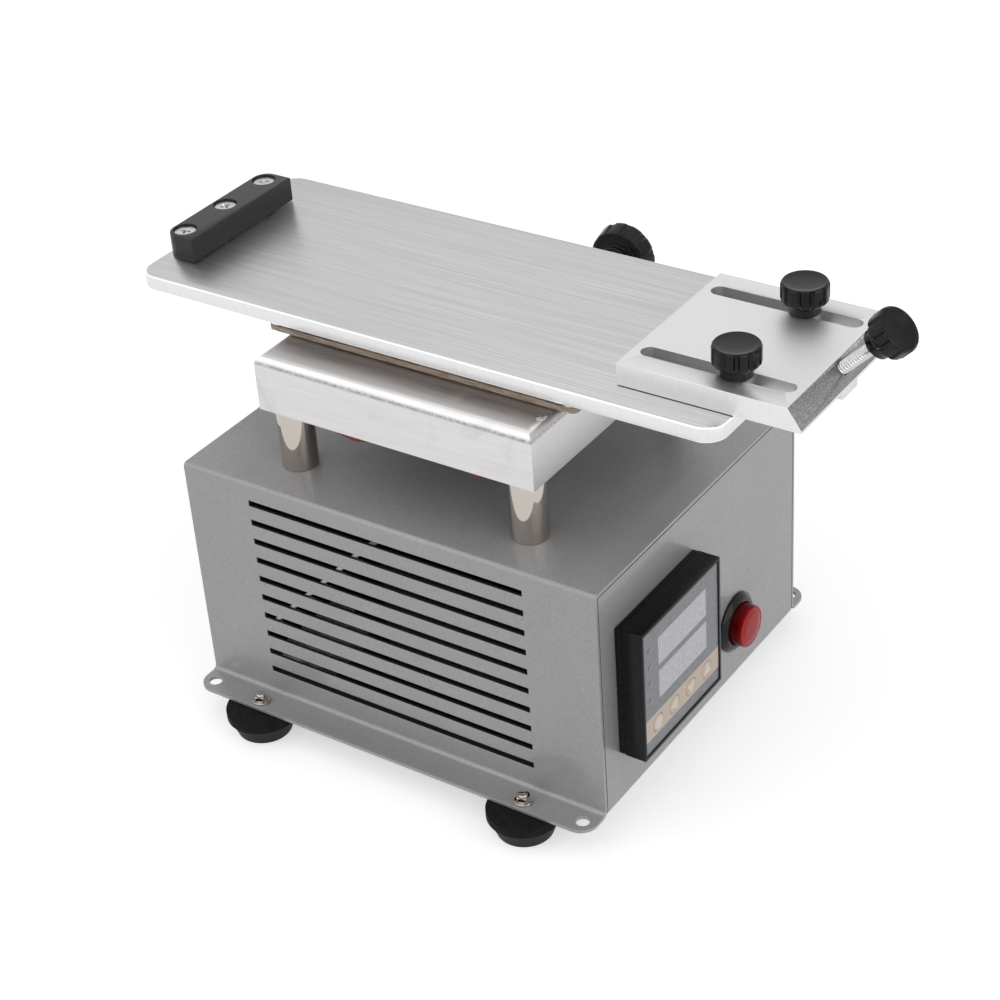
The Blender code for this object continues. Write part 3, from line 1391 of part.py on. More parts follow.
def make_stop(base, turntable):
    """A bar across the plate's end. Its two outer corners are round."""
    near = -STOP_OFFSET - STOP_WIDTH / 2
    top = CLAMP_BOTTOM + STOP_HEIGHT
    bm = bmesh.new()
    low = (STOP_LEFT, near, CLAMP_BOTTOM)
    block(bm, low, (STOP_LEFT + STOP_DEPTH, near + STOP_WIDTH, top))
    outer = long_edges(bm, 2, lambda middle: middle.x < STOP_LEFT + GAP)
    bevel(bm, outer, STOP_CORNER, 4)
    rim = [edge for edge in bm.edges if min(vert.co.z for vert in edge.verts) > top - GAP]
    bevel(bm, rim, PLATE_CHAMFER, 1)
    stop = piece("stop_block", bm, "black_anodised", turntable)
    cuts = bmesh.new()
    for index, place in enumerate(stop_screw_places()):
        frame = placed(place)
        countersunk(cuts, frame, STOP_HEAD_R, STOP_SCREW_R, stop_screw_length(), GAP)
        screw = bmesh.new()
        countersunk(screw, frame, STOP_HEAD_R, STOP_SCREW_R, stop_screw_length())
        piece(f"stop_screw_{index + 1}", screw, "zinc", turntable, place)
    boolean(stop, "DIFFERENCE", cuts, base)


# Clamp


def end_screw_frame(along=0.0):
    """The inclined screw's frame, its Z outward, this far along the screw."""
    tilt = Matrix.Rotation(math.pi / 2 - END_SCREW_TILT, 4, "Y")
    start = placed((CLAMP_BEVEL_X + END_SCREW_RUN, 0, CLAMP_TOP - END_SCREW_DROP), tilt)
    return start @ Matrix.Translation((0, 0, along))


def make_clamp(base, clamp):
    outline = [
        (CLAMP_LEFT, CLAMP_BOTTOM),
        (CLAMP_RIGHT, CLAMP_BOTTOM),
        (CLAMP_RIGHT, CLAMP_TOP - BEVEL_DROP),
        (CLAMP_BEVEL_X, CLAMP_TOP),
        (CLAMP_LEFT, CLAMP_TOP),
    ]
    bm = bmesh.new()
    extruded(bm, outline, -CLAMP_WIDTH / 2, CLAMP_WIDTH / 2, ALONG_Y)
    bevel(bm, list(bm.edges), CLAMP_CHAMFER, 1)
    origin = (CLAMP_LEFT, 0, CLAMP_BOTTOM)
    plate = piece("clamp_plate", bm, "blasted_aluminium", clamp, origin)
    boss = bmesh.new()
    half = BOSS_WIDTH / 2
    low = (BOSS_LEFT, -half, CLAMP_BOTTOM - GAP - BOSS_DROP)
    block(boss, low, (BOSS_LEFT + BOSS_LENGTH, half, CLAMP_BOTTOM + BOSS_ROOT))
    boolean(plate, "UNION", boss, base)
    cuts = bmesh.new()
    for side in (-1, 1):
        middle = (CLAMP_LEFT + SLOT_START + SLOT_LENGTH / 2, side * SLOT_Y)
        outline = rounded(SLOT_LENGTH, SLOT_WIDTH, SLOT_WIDTH / 2, 4, middle)
        extruded(cuts, outline, CLAMP_BOTTOM - GAP, CLAMP_TOP + GAP)
    round_bar(cuts, end_screw_frame(), STUD_R + GAP, -END_SCREW_GRIP - GAP, 2 * CLAMP_THICKNESS)
    boolean(plate, "DIFFERENCE", cuts, base)


def small_knob(bm, core, core_end, frame):
    rings = knob_rings(
        KNOB_HUB_R, KNOB_HUB_HEIGHT, KNOB_R, KNOB_R, KNOB_HEIGHT, core, core_end, KNOB_FLUTES
    )
    top = KNOB_HUB_HEIGHT + KNOB_HEIGHT
    rings[-2:] = [
        circle(KNOB_TOP_R, top, FLUTE_POINTS * KNOB_FLUTES),
        circle(KNOB_TOP_R - 2 * KNOB_DISH, top - KNOB_DISH, FLUTE_POINTS * KNOB_FLUTES),
    ]
    loft(bm, rings, frame=frame)


def make_lock_knobs(turntable):
    """Two knobs with moulded-in studs that run through the clamp's slots into the plate."""
    seat = CLAMP_TOP + GAP
    stud_end = PLATE_TOP - STUD_GRIP - seat
    for side, name in ((-1, "front"), (1, "back")):
        origin = (LOCK_X, side * SLOT_Y, seat)
        bm = bmesh.new()
        small_knob(bm, STUD_R, stud_end, placed(origin))
        piece(f"lock_knob_{name}", bm, "black_plastic", turntable, origin)


def make_end_knob(clamp):
    seat = end_screw_frame(END_SCREW_SHOWN)
    origin = seat.translation
    axis = empty("end_screw_axis", origin, clamp)
    bm = bmesh.new()
    small_knob(bm, STUD_R + GAP, KNOB_BORE_DEPTH, seat)
    piece("end_knob", bm, "black_plastic", axis, origin)
    bm = bmesh.new()
    high = END_SCREW_SHOWN + KNOB_BORE_DEPTH - GAP
    turned(bm, [(STUD_R, -END_SCREW_GRIP), (STUD_R, high)], end_screw_frame())
    piece("end_screw", bm, "zinc", axis, origin)


def centre_over_origin(base):
    """Moves the whole object so that its bounding box stands centred over the origin."""
    bpy.context.view_layer.update()
    graph = bpy.context.evaluated_depsgraph_get()
    points = []
    for obj in bpy.data.objects:
        if obj.type in ("MESH", "CURVE") and not obj.hide_render:
            solid = obj.evaluated_get(graph)
            points += [solid.matrix_world @ vertex.co for vertex in solid.to_mesh().vertices]
            solid.to_mesh_clear()
    for axis in range(2):
        reach = [point[axis] for point in points]
        base.location[axis] -= (min(reach) + max(reach)) / 2


def main():
    clear_scene()
    base = empty("separator", (0, 0, 0))
    turntable = empty("turntable", (0, 0, PLATE_BOTTOM), base)
    clamp = empty("clamp_slide", (CLAMP_LEFT, 0, CLAMP_BOTTOM), turntable)
    brake = empty("brake_axis", (BRAKE_X, BRAKE_KNOB_Y, BRAKE_Z), base)
    make_feet(base)
    make_foot_screws(base)
    make_case_cover(base)
    make_chassis(base)
    make_controller(base)
    make_keys(base)
    make_button(base)
    make_inlet(base)
    make_relay(base)
    make_terminals(base)
    make_leads(base)
    make_grommet(base)
    make_posts(base)
    make_heater_box(base)
    make_pivot(base, turntable)
    make_brake(base, brake)
    make_plate(base, turntable)
    make_layers(base, turntable)
    make_stop(base, turntable)
    make_clamp(base, clamp)
    make_lock_knobs(turntable)
    make_end_knob(clamp)
    centre_over_origin(base)


main()
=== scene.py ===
"""Heated turntable for separating phone screens, dressed with fine pieces and finishes."""

import json
import math

import bmesh
import bpy
from mathutils import Matrix, Vector


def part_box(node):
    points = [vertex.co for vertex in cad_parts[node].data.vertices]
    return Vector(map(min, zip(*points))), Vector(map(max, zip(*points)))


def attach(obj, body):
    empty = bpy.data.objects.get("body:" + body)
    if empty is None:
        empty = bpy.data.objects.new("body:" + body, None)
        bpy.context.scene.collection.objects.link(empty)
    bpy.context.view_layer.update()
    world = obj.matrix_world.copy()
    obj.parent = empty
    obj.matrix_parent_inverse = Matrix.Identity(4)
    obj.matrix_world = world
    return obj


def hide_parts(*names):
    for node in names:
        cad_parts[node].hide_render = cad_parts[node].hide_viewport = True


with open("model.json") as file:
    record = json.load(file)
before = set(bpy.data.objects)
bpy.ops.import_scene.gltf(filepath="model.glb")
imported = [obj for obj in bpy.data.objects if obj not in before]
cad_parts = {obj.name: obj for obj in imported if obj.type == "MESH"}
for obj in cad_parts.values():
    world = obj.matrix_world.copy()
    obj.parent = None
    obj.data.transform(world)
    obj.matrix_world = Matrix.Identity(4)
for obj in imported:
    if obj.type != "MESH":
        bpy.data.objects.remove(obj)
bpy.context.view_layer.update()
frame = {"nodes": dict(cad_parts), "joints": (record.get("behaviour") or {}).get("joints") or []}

bl_info = {
    "name": "Screen Separator",
    "version": (1, 0, 0),
    "blender": (4, 5, 0),
    "location": "View3D > Sidebar > Separator",
    "description": "Builds a heated screen separator's fine pieces, finishes and stage",
    "category": "Add Mesh",
}

MM = 0.001
COVER_GAP = 0.3 * MM


def node_box(node):
    low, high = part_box(node)
    return Vector(low), Vector(high)


def node_centre(node):
    low, high = node_box(node)
    return (low + high) / 2


def add_node(tree, kind, links=(), **settings):
    """A shader node with its settings. Each input takes a socket to link or a value."""
    made = tree.nodes.new(kind)
    for name, value in settings.items():
        setattr(made, name, value)
    for socket, source in dict(links).items():
        if isinstance(source, bpy.types.NodeSocket):
            tree.links.new(source, made.inputs[socket])
        else:
            made.inputs[socket].default_value = source
    return made


# Settings that a user would change


def length(name, description, size):
    return bpy.props.FloatProperty(name=name, description=description, default=size * MM, unit="LENGTH")


def tone(name, description, colour):
    return bpy.props.FloatVectorProperty(name=name, description=description, default=colour, subtype="COLOR")


class SeparatorSizes(bpy.types.PropertyGroup):
    """Sizes of the fine pieces. Everything else comes from the frame."""

    sheet: length("Sheet", "Thickness of the folded sheets", 1.2)
    case_bend: length("Case bend", "Outer radius of the case's folds", 1.5)
    box_bend: length("Box bend", "Outer radius of the heater box's folds", 3.5)
    vents: bpy.props.IntProperty(name="Vents", description="Slots in each wall", default=10)
    vent_length: length("Vent length", "Length of a slot", 104.2)
    vent_height: length("Vent height", "Height of a slot", 2.2)
    vent_pitch: length("Vent pitch", "From slot to slot", 7.34)
    vent_top: length("Vent top", "The uppermost slot's upper edge", 87.3)
    edge_wear: length("Edge radius", "Radius of a broken sheet edge", 0.15)
    flutes: bpy.props.IntProperty(name="Flutes", description="Grooves round a knob", default=11)
    thread_pitch: length("Thread pitch", "Pitch of the screws' threads", 1.0)
    thread_depth: length("Thread depth", "Depth of the screws' threads", 0.42)


class SeparatorColours(bpy.types.PropertyGroup):
    """Base colours of the finishes."""

    case_paint: tone("Case paint", "Silver-grey paint", (0.335, 0.335, 0.338))
    steel: tone("Steel", "Heater box", (0.68, 0.67, 0.67))
    aluminium: tone("Aluminium", "Heating plate and clamp", (0.66, 0.66, 0.665))
    rubber: tone("Rubber", "Feet", (0.006, 0.006, 0.0065))
    black: tone("Black plastic", "Knobs and bezel", (0.006, 0.006, 0.0065))
    cap: tone("Button cap", "Red cap", (0.38, 0.003, 0.005))
    face: tone("Controller face", "Grey-blue film", (0.20, 0.203, 0.225))
    key_strip: tone("Key strip", "Tan strip", (0.58, 0.49, 0.40))
    lead: tone("Heater lead", "Red silicone", (0.22, 0.018, 0.012))
    board: tone("Board", "Layered mica", (0.33, 0.255, 0.20))


def sizes():
    return bpy.context.scene.separator_sizes


def colours():
    return bpy.context.scene.separator_colours


# Finishes


class Finish:
    """A procedural material, put together from texture nodes on Object coordinates."""

    def __init__(self, name, colour, roughness, metallic, sockets):
        self.material = bpy.data.materials.new(name)
        self.material.use_nodes = True
        self.tree = self.material.node_tree
        self.shader = self.tree.nodes["Principled BSDF"]
        fixed = {"Base Color": (*colour, 1), "Roughness": roughness, "Metallic": metallic, **sockets}
        for socket, value in fixed.items():
            self.shader.inputs[socket].default_value = value
        self.place = self.tree.nodes.new("ShaderNodeTexCoord").outputs["Object"]
        self.normal = None

    def node(self, kind, links=(), **settings):
        return add_node(self.tree, kind, links, **settings)

    def noise(self, scale, detail=3.0, roughness=0.55, stretch=None, distortion=0.0):
        place = self.place
        if stretch:
            place = self.node("ShaderNodeMapping", {"Vector": place, "Scale": stretch}).outputs[0]
        links = {"Vector": place, "Scale": scale, "Detail": detail, "Roughness": roughness,
                 "Distortion": distortion}
        return self.node("ShaderNodeTexNoise", links).outputs["Fac"]

    def cells(self, scale):
        links = {"Vector": self.place, "Scale": scale}
        return self.node("ShaderNodeTexVoronoi", links).outputs["Color"]

    def axis(self, index):
        return self.node("ShaderNodeSeparateXYZ", {"Vector": self.place}).outputs[index]

    def math(self, operation, first, second=0.0, clamp=False):
        sides = {0: first, 1: second}
        return self.node("ShaderNodeMath", sides, operation=operation, use_clamp=clamp).outputs[0]

    def all_of(self, *tests):
        """1 where every test holds. A test is a comparison with its two sides."""
        found = None
        for test in tests:
            here = self.math(*test)
            found = self.math("MULTIPLY", found, here) if found else here
        return found

    def spread(self, value, low=0.3, high=0.7, to_low=0.0, to_high=1.0):
        links = {"Value": value, "From Min": low, "From Max": high, "To Min": to_low,
                 "To Max": to_high}
        return self.node("ShaderNodeMapRange", links).outputs["Result"]

    def blend(self, factor, first, second, mode="MIX"):
        sides = {6: first, 7: second}
        links = {socket: (*side, 1) if isinstance(side, tuple) else side for socket, side in sides.items()}
        return self.node("ShaderNodeMix", {0: factor, **links}, data_type="RGBA", blend_type=mode).outputs[2]

    def use(self, socket, source):
        self.tree.links.new(source, self.shader.inputs[socket])

    def tones(self, factor, first, second):
        self.use("Base Color", self.blend(factor, first, second))

    def rough(self, value, to_low, to_high, low=0.3, high=0.7):
        self.use("Roughness", self.spread(value, low, high, to_low, to_high))

    def bump(self, height, distance, strength=1.0):
        links = {"Height": height, "Distance": distance, "Strength": strength}
        if self.normal:
            links["Normal"] = self.normal
        self.normal = self.node("ShaderNodeBump", links).outputs["Normal"]
        self.use("Normal", self.normal)


FINISHES = {}
ACROSS_X = (0.05, 1, 1)
# Near black, for painted shade on the case's inner faces.
INNER_SHADE_BLACK = (0.012, 0.012, 0.013)
SEMI_GLOSS = {"Coat Weight": 0.4, "Coat Roughness": 0.10}


def specular(level):
    return {"Specular IOR Level": level}


def surface(colour, roughness, metallic=0.0, sockets=None):
    """Keeps a finish under its function's name. The function draws its pattern on a plain material."""

    def keep(draw):
        FINISHES[draw.__name__] = (draw, colour, roughness, metallic, sockets or {})
        return draw

    return keep


def finish(name):
    """The finish of this name, made on its first use."""
    kept = bpy.data.materials.get(f"finish_{name}")
    if kept:
        return kept
    draw, colour, roughness, metallic, sockets = FINISHES[name]
    if isinstance(colour, str):
        colour = tuple(getattr(colours(), colour))
    made = Finish(f"finish_{name}", colour, roughness, metallic, sockets)
    draw(made, colour)
    return made.material


def shade(colour, factor):
    return tuple(channel * factor for channel in colour)


def case_wall():
    """The outer side of the cover's vented wall, along Y."""
    return node_box("chassis")[1].y + COVER_GAP + sizes().sheet


def flaked_paint(made, colour):
    """Semi-gloss paint's fine orange peel, and its tone with metal flakes."""
    flakes = made.spread(made.cells(2600), 0.1, 0.9, 0.90, 1.08)
    mottle = made.spread(made.noise(40, 4), 0.3, 0.7, 0.97, 1.03)
    made.rough(made.noise(700), 0.42, 0.52)
    made.bump(made.noise(1100, 3, 0.6), 0.00006, 0.5)
    return made.blend(1.0, colour, made.math("MULTIPLY", flakes, mottle), "MULTIPLY")


@surface("case_paint", 0.46, 0.25, SEMI_GLOSS)
def case_paint(made, colour):
    """The case's paint, with painted shade, near black, on the cut edges inside the vents."""
    s = sizes()
    along = made.math("ABSOLUTE", made.math("SUBTRACT", made.axis(0), node_centre("case_cover").x))
    cut = made.all_of(
        ("LESS_THAN", made.math("ABSOLUTE", made.axis(1)), case_wall() - 0.16 * MM),
        ("LESS_THAN", along, s.vent_length / 2 + 0.1 * MM),
        ("LESS_THAN", made.axis(2), s.vent_top + 0.1 * MM),
    )
    # painted shade: the vents' cut edges are coloured near black, as the shade inside the slots
    made.tones(cut, flaked_paint(made, colour), (0.03, 0.03, 0.03))


@surface("case_paint", 0.46, 0.25, SEMI_GLOSS)
def tray_paint(made, colour):
    """The case's paint on the tray's outer faces, and painted shade, near black, on its inner ones."""
    low, high = node_box("chassis")
    skin = sizes().sheet / 2
    inside = made.all_of(
        ("GREATER_THAN", made.axis(0), low.x + skin),
        ("LESS_THAN", made.axis(0), high.x - skin),
        ("GREATER_THAN", made.axis(2), low.z + skin),
    )
    # painted shade: the tray's inner faces are coloured near black and made not metallic, as the shade inside
    # the case
    made.tones(inside, flaked_paint(made, colour), INNER_SHADE_BLACK)
    made.use("Metallic", made.math("MULTIPLY", made.math("SUBTRACT", 1.0, inside), 0.25))


@surface(INNER_SHADE_BLACK, 0.8)
def primer(made, colour):
    """Painted shade on the cover's inner side: a near-black matte finish."""
    made.tones(made.noise(300), (0.011, 0.011, 0.012), (0.016, 0.016, 0.016))


@surface("steel", 0.40, 1.0)
def satin_steel(made, colour):
    """Satin sheet steel with handling marks and heat stains, a painted shade and reflection on its top face,
    and a painted dark band of shade along the bends.
    """
    top = node_box("heater_box")[1].z
    height = made.axis(2)
    stains = made.spread(made.noise(34, 6, 0.62, distortion=1.2), 0.54, 0.66)
    tint = made.blend(made.math("MULTIPLY", stains, 0.3), colour, (0.50, 0.48, 0.47))
    brush = made.noise(900, 3, 0.6, ACROSS_X)
    # painted shade and reflection: the top face, under the plate, is coloured a darker warm grey, as the
    # board above it mirrored
    shaded_top = made.spread(height, top - 0.2 * MM, top - 0.05 * MM)
    tint = made.blend(made.math("MULTIPLY", shaded_top, 0.55), tint, (0.44, 0.42, 0.395))
    tint = made.blend(made.spread(brush, 0.3, 0.7, 0.0, 0.25), tint, shade(colour, 0.74))
    # painted shade: a dark band with grain along the folds just under the top
    bend = made.spread(height, top - 3.4 * MM, top - 1.5 * MM, -1.0, 1.0)
    bend = made.math("SUBTRACT", 1.0, made.math("ABSOLUTE", bend), clamp=True)
    bend_shade = made.math("MULTIPLY", bend, made.spread(made.noise(1000, 4, 0.7), 0.35, 0.62, 0.3, 1.0))
    made.tones(made.math("MULTIPLY", bend_shade, 0.85), tint, (0.15, 0.148, 0.145))
    rough = made.spread(brush, 0.25, 0.75, 0.30, 0.44)
    for marks, weight in ((stains, 0.08), (shaded_top, 0.12)):
        rough = made.math("ADD", rough, made.math("MULTIPLY", marks, weight))
    made.use("Roughness", rough)
    made.bump(made.noise(1500, 4, 0.6, (0.1, 1, 1)), 0.00003, 0.35)
    made.bump(made.noise(60, 2), 0.0004, 0.10)


@surface("aluminium", 0.34, 1.0)
def brushed_aluminium(made, colour):
    """Aluminium brushed along X."""
    fine = made.noise(3200, 3, 0.7, (0.010, 1, 1))
    broad = made.noise(1300, 4, 0.65, (0.012, 1, 1))
    made.tones(made.spread(broad, 0.32, 0.68), shade(colour, 0.92), shade(colour, 0.72))
    made.rough(fine, 0.28, 0.44, 0.25, 0.75)
    made.bump(fine, 0.00003, 0.7)


@surface((0.74, 0.74, 0.75), 0.36, 1.0)
def sawn_edge(made, colour):
    """Bright machined side of the aluminium, with faint upright marks."""
    marks = made.noise(1500, 3, 0.6, (1, 1, 0.1))
    made.tones(made.spread(marks), (0.76, 0.76, 0.77), (0.725, 0.725, 0.735))
    made.rough(marks, 0.34, 0.38)


@surface("aluminium", 0.48, 1.0)
def blasted_aluminium(made, colour):
    """Aluminium with an even, fine blasted grain."""
    grain = made.noise(2400, 3, 0.6)
    made.tones(made.spread(grain, 0.35, 0.65, 0.0, 0.3), shade(colour, 1.08), shade(colour, 0.86))
    made.rough(made.noise(1500), 0.42, 0.52)
    made.bump(grain, 0.00004, 0.5)


@surface((0.94, 0.94, 0.95), 0.2, 1.0)
def polished_edge(made, colour):
    """Bright cut edge of the aluminium."""
    made.rough(made.noise(900), 0.16, 0.30)


@surface((0.30, 0.30, 0.305), 0.42, 1.0)
def milled_aluminium(made, colour):
    """Duller milled slope with coarse bright specks."""
    specks = made.spread(made.noise(1900, 3, 0.7), 0.45, 0.66)
    made.tones(specks, (0.22, 0.22, 0.225), (0.42, 0.42, 0.42))
    made.rough(made.noise(1200), 0.34, 0.52)
    made.bump(made.noise(1500, 3, 0.65), 0.00006, 0.6)


@surface((0.50, 0.455, 0.415), 0.06, 1.0)
def nickel(made, colour):
    """Bright nickel plate with upright polishing marks."""
    made.rough(made.noise(500, 3, 0.6, (1, 1, 0.05)), 0.03, 0.09)
    made.bump(made.noise(1200, 2, 0.5, (1, 1, 0.04)), 0.00001, 0.3)


@surface((0.58, 0.585, 0.58), 0.30, 1.0)
def zinc(made, colour):
    """Zinc plate with duller patches."""
    made.rough(made.noise(1200), 0.22, 0.40)
    made.tones(made.spread(made.noise(600), 0.35, 0.7, 0, 0.35), (0.60, 0.60, 0.59), (0.40, 0.40, 0.38))


@surface((0.42, 0.42, 0.42), 0.38, 1.0)
def plain_steel(made, colour):
    """Turned steel."""
    made.rough(made.noise(500, 4), 0.28, 0.50)
    made.bump(made.noise(900, 3, 0.6, (1, 1, 0.2)), 0.00003, 0.4)


@surface((0.62, 0.43, 0.17), 0.32, 1.0)
def brass(made, colour):
    """Turned brass."""
    made.rough(made.noise(900), 0.24, 0.44)


@surface("black", 0.18, sockets=specular(0.22))
def gloss_plastic(made, colour):
    """Black moulded plastic with faint handling marks."""
    marks = made.noise(180, 5, 0.6)
    made.rough(marks, 0.10, 0.24, 0.35)
    made.tones(made.spread(marks, 0.5, 0.75, 0, 0.5), colour, shade(colour, 2.0))
    made.bump(made.noise(1600, 2), 0.00001, 0.3)


@surface("black", 0.5, sockets=specular(0.2))
def satin_plastic(made, colour):
    """Duller black plastic, as in a knob's dished end."""
    made.rough(made.noise(600), 0.42, 0.58)


@surface("black", 0.26, sockets=specular(0.15))
def bezel_plastic(made, colour):
    """Black bezel plastic with a fine grain and a little dust."""
    grain = made.noise(2200, 3, 0.6)
    made.rough(grain, 0.20, 0.34)
    dust = made.spread(made.noise(700, 5, 0.7), 0.66, 0.74)
    made.tones(made.math("MULTIPLY", dust, 0.4), colour, (0.16, 0.16, 0.16))
    made.bump(grain, 0.00003, 0.4)


@surface("rubber", 0.62, sockets=specular(0.15))
def rubber(made, colour):
    """Matte rubber, dusty in places."""
    dust = made.spread(made.noise(220, 5, 0.65), 0.5, 0.75, 0, 0.35)
    made.tones(dust, colour, shade(colour, 2.6))
    made.rough(made.noise(500), 0.60, 0.85)
    made.bump(made.noise(1500, 4, 0.7), 0.00006, 0.5)


@surface((0.022, 0.022, 0.023), 0.6, sockets=specular(0.2))
def worn_rubber(made, colour):
    """Rubber of the feet's cones, painted paler for the light they catch."""
    made.tones(made.noise(260, 5, 0.65), (0.013, 0.013, 0.0135), (0.026, 0.026, 0.027))
    made.bump(made.noise(1500, 4, 0.7), 0.00004, 0.4)


@surface("face", 0.36)
def face_film(made, colour):
    """Grey-blue film with a fine screen-printed grain."""
    made.tones(made.spread(made.cells(2600), 0.1, 0.9), shade(colour, 0.72), shade(colour, 1.22))
    made.bump(made.noise(2600, 2), 0.00002, 0.4)


@surface((0.40, 0.40, 0.42), 0.26, sockets={"Coat Weight": 0.3, "Coat Roughness": 0.12})
def window_film(made, colour):
    """Unlit display window under a matt film."""
    made.tones(made.spread(made.noise(900)), (0.48, 0.48, 0.50), (0.42, 0.42, 0.445))


@surface((0.50, 0.50, 0.52), 0.32)
def segment_ghost(made, colour):
    """Unlit figure, a little paler than its window."""
    made.tones(made.spread(made.noise(1500, 2)), (0.58, 0.58, 0.60), (0.51, 0.51, 0.53))


@surface((0.07, 0.07, 0.08), 0.2, sockets={"Coat Weight": 0.5})
def dark_lens(made, colour):
    """Unlit signal light."""
    made.tones(made.noise(2500, 2), (0.05, 0.05, 0.06), (0.12, 0.12, 0.13))


@surface("key_strip", 0.5)
def key_strip(made, colour):
    """Tan rubber of the keys and the strip round them."""
    made.tones(made.spread(made.noise(700, 4), 0.3, 0.7, 0, 0.2), colour, shade(colour, 0.86))
    made.bump(made.noise(2400, 2), 0.00002, 0.4)


@surface((0.70, 0.64, 0.56), 0.4)
def key_mark(made, colour):
    """Paler raised mark on a key."""
    made.tones(made.spread(made.noise(1200)), (0.72, 0.66, 0.58), (0.66, 0.59, 0.50))


@surface("cap", 0.2, sockets={
    **specular(0.12), "Subsurface Weight": 0.1, "Subsurface Radius": (0.003, 0.0002, 0.0002),
    "Subsurface Scale": 1.0,
})
def red_cap(made, colour):
    """Translucent red cap, with painted shade darkening its rim towards the ring."""
    front = node_box("start_button")[1].x
    # painted shade: the cap's side is coloured darker towards the ring it sits in
    depth = made.spread(made.axis(0), front - 2.2 * MM, front - 0.25 * MM)
    tint = made.blend(depth, shade(colour, 0.2), colour)
    made.tones(made.spread(made.noise(300), 0.3, 0.7, 0, 0.3), tint, shade(colour, 0.7))


@surface("lead", 0.42)
def red_silicone(made, colour):
    """Silicone insulation of the heater's leads."""
    made.tones(made.spread(made.noise(600, 4), 0.3, 0.7, 0, 0.4), colour, shade(colour, 0.6))
    made.bump(made.noise(1800), 0.00004, 0.4)


@surface((0.62, 0.61, 0.56), 0.7)
def pale_sleeve(made, colour):
    """Woven glass-fibre sleeve."""
    weave = made.cells(1400)
    made.tones(made.spread(weave, 0, 1, 0, 0.5), (0.66, 0.65, 0.60), (0.46, 0.45, 0.41))
    made.bump(made.spread(weave, 0, 1), 0.0002, 0.6)


@surface((0.90, 0.90, 0.89), 0.4)
def lead_sleeve(made, colour):
    """Smooth white insulation."""
    made.tones(made.noise(500), (0.96, 0.96, 0.95), (0.92, 0.92, 0.90))


@surface((0.66, 0.66, 0.63), 0.45)
def white_plastic(made, colour):
    """Off-white plastic of the relay and the terminal block."""
    made.tones(made.spread(made.noise(260, 4), 0.3, 0.7, 0, 0.2), (0.67, 0.67, 0.64), (0.56, 0.56, 0.53))
    made.bump(made.noise(1500), 0.00003, 0.4)


@surface("board", 0.55)
def mica(made, colour):
    """Pressed mica in two layers, with flecks."""
    layers = made.noise(2600, 3, 0.6, (0.08, 0.08, 1))
    flecks = made.spread(made.cells(1200), 0.72, 0.9)
    tint = made.blend(made.spread(layers, 0.35, 0.65), shade(colour, 0.62), shade(colour, 1.5))
    made.tones(made.math("MULTIPLY", flecks, 0.5), tint, (0.42, 0.36, 0.28))
    made.bump(layers, 0.0001, 0.5)


@surface((0.62, 0.60, 0.55), 0.9)
def fibre_pad(made, colour):
    """White fibre insulation."""
    fibres = made.noise(900, 5, 0.7)
    made.tones(fibres, (0.70, 0.68, 0.63), (0.48, 0.46, 0.42))
    made.bump(fibres, 0.0003, 0.6)


@surface((0.36, 0.07, 0.025), 0.6)
def heater_silicone(made, colour):
    """Moulded silicone of the heater mat."""
    made.tones(made.noise(400, 4), (0.40, 0.08, 0.03), (0.27, 0.05, 0.02))
    made.bump(made.cells(900), 0.0001, 0.4)


@surface((0.014, 0.014, 0.015), 0.30, sockets=specular(0.35))
def black_anodised(made, colour):
    """Black anodised aluminium with a fine grain."""
    grain = made.noise(1600, 4, 0.65)
    made.tones(made.spread(grain, 0.5, 0.75, 0, 0.5), (0.012, 0.012, 0.013), (0.04, 0.04, 0.042))
    made.rough(grain, 0.24, 0.38)
    made.bump(grain, 0.00003, 0.4)


# Making pieces


def in_mm(points):
    """Points given in millimetres, in metres."""
    return [tuple(value * MM for value in point) for point in points]


def at(place, turn=Matrix.Identity(4)):
    return Matrix.Translation(place) @ turn


def new_piece(name, bm, finish_name, body, replaces=(), sharp=32, normals=True):
    """A finished piece at the origin, riding on its body and standing for CAD nodes."""
    if normals:
        bmesh.ops.recalc_face_normals(bm, faces=bm.faces)
    mesh = bpy.data.meshes.new(name)
    bm.to_mesh(mesh)
    bm.free()
    mesh.shade_smooth()
    mesh.set_sharp_from_angle(angle=math.radians(sharp))
    mesh.materials.append(finish(finish_name))
    obj = bpy.data.objects.new(name, mesh)
    bpy.context.scene.collection.objects.link(obj)
    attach(obj, body)
    if replaces:
        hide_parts(*replaces)
    return obj


def shaped(bm, matrix):
    """Moves a mesh drawn at the origin to its place."""
    bmesh.ops.transform(bm, matrix=matrix, verts=bm.verts)
    return bm


def bevelled(bm, geometry, offset, segments, affect="EDGES"):
    bmesh.ops.bevel(bm, geom=geometry, offset=offset, segments=segments, profile=0.5, affect=affect,
                    material=-1)


def edges_where(bm, wanted):
    """The edges whose two ends pass a test."""
    return [edge for edge in bm.edges if wanted(edge.verts[0].co, edge.verts[1].co)]


def verts_of(geometry):
    return [item for item in geometry if isinstance(item, bmesh.types.BMVert)]


def block(low, high):
    """A plain block between two corners."""
    bm = bmesh.new()
    matrix = Matrix.Translation((low + high) / 2) @ Matrix.Diagonal((*(high - low), 1))
    bmesh.ops.create_cube(bm, size=1, matrix=matrix)
    return bm


def turned(profile, steps=64, matrix=None):
    """A round solid or shell, spun from (radius, height) points about Z."""
    bm = bmesh.new()
    verts = [bm.verts.new((radius, 0, height)) for radius, height in profile]
    edges = [bm.edges.new(pair) for pair in zip(verts, verts[1:])]
    bmesh.ops.spin(
        bm, geom=verts + edges, cent=(0, 0, 0), axis=(0, 0, 1), angle=math.tau, steps=steps,
        use_merge=True, use_duplicate=False,
    )
    bmesh.ops.remove_doubles(bm, verts=bm.verts, dist=1e-7)
    return shaped(bm, matrix) if matrix else bm


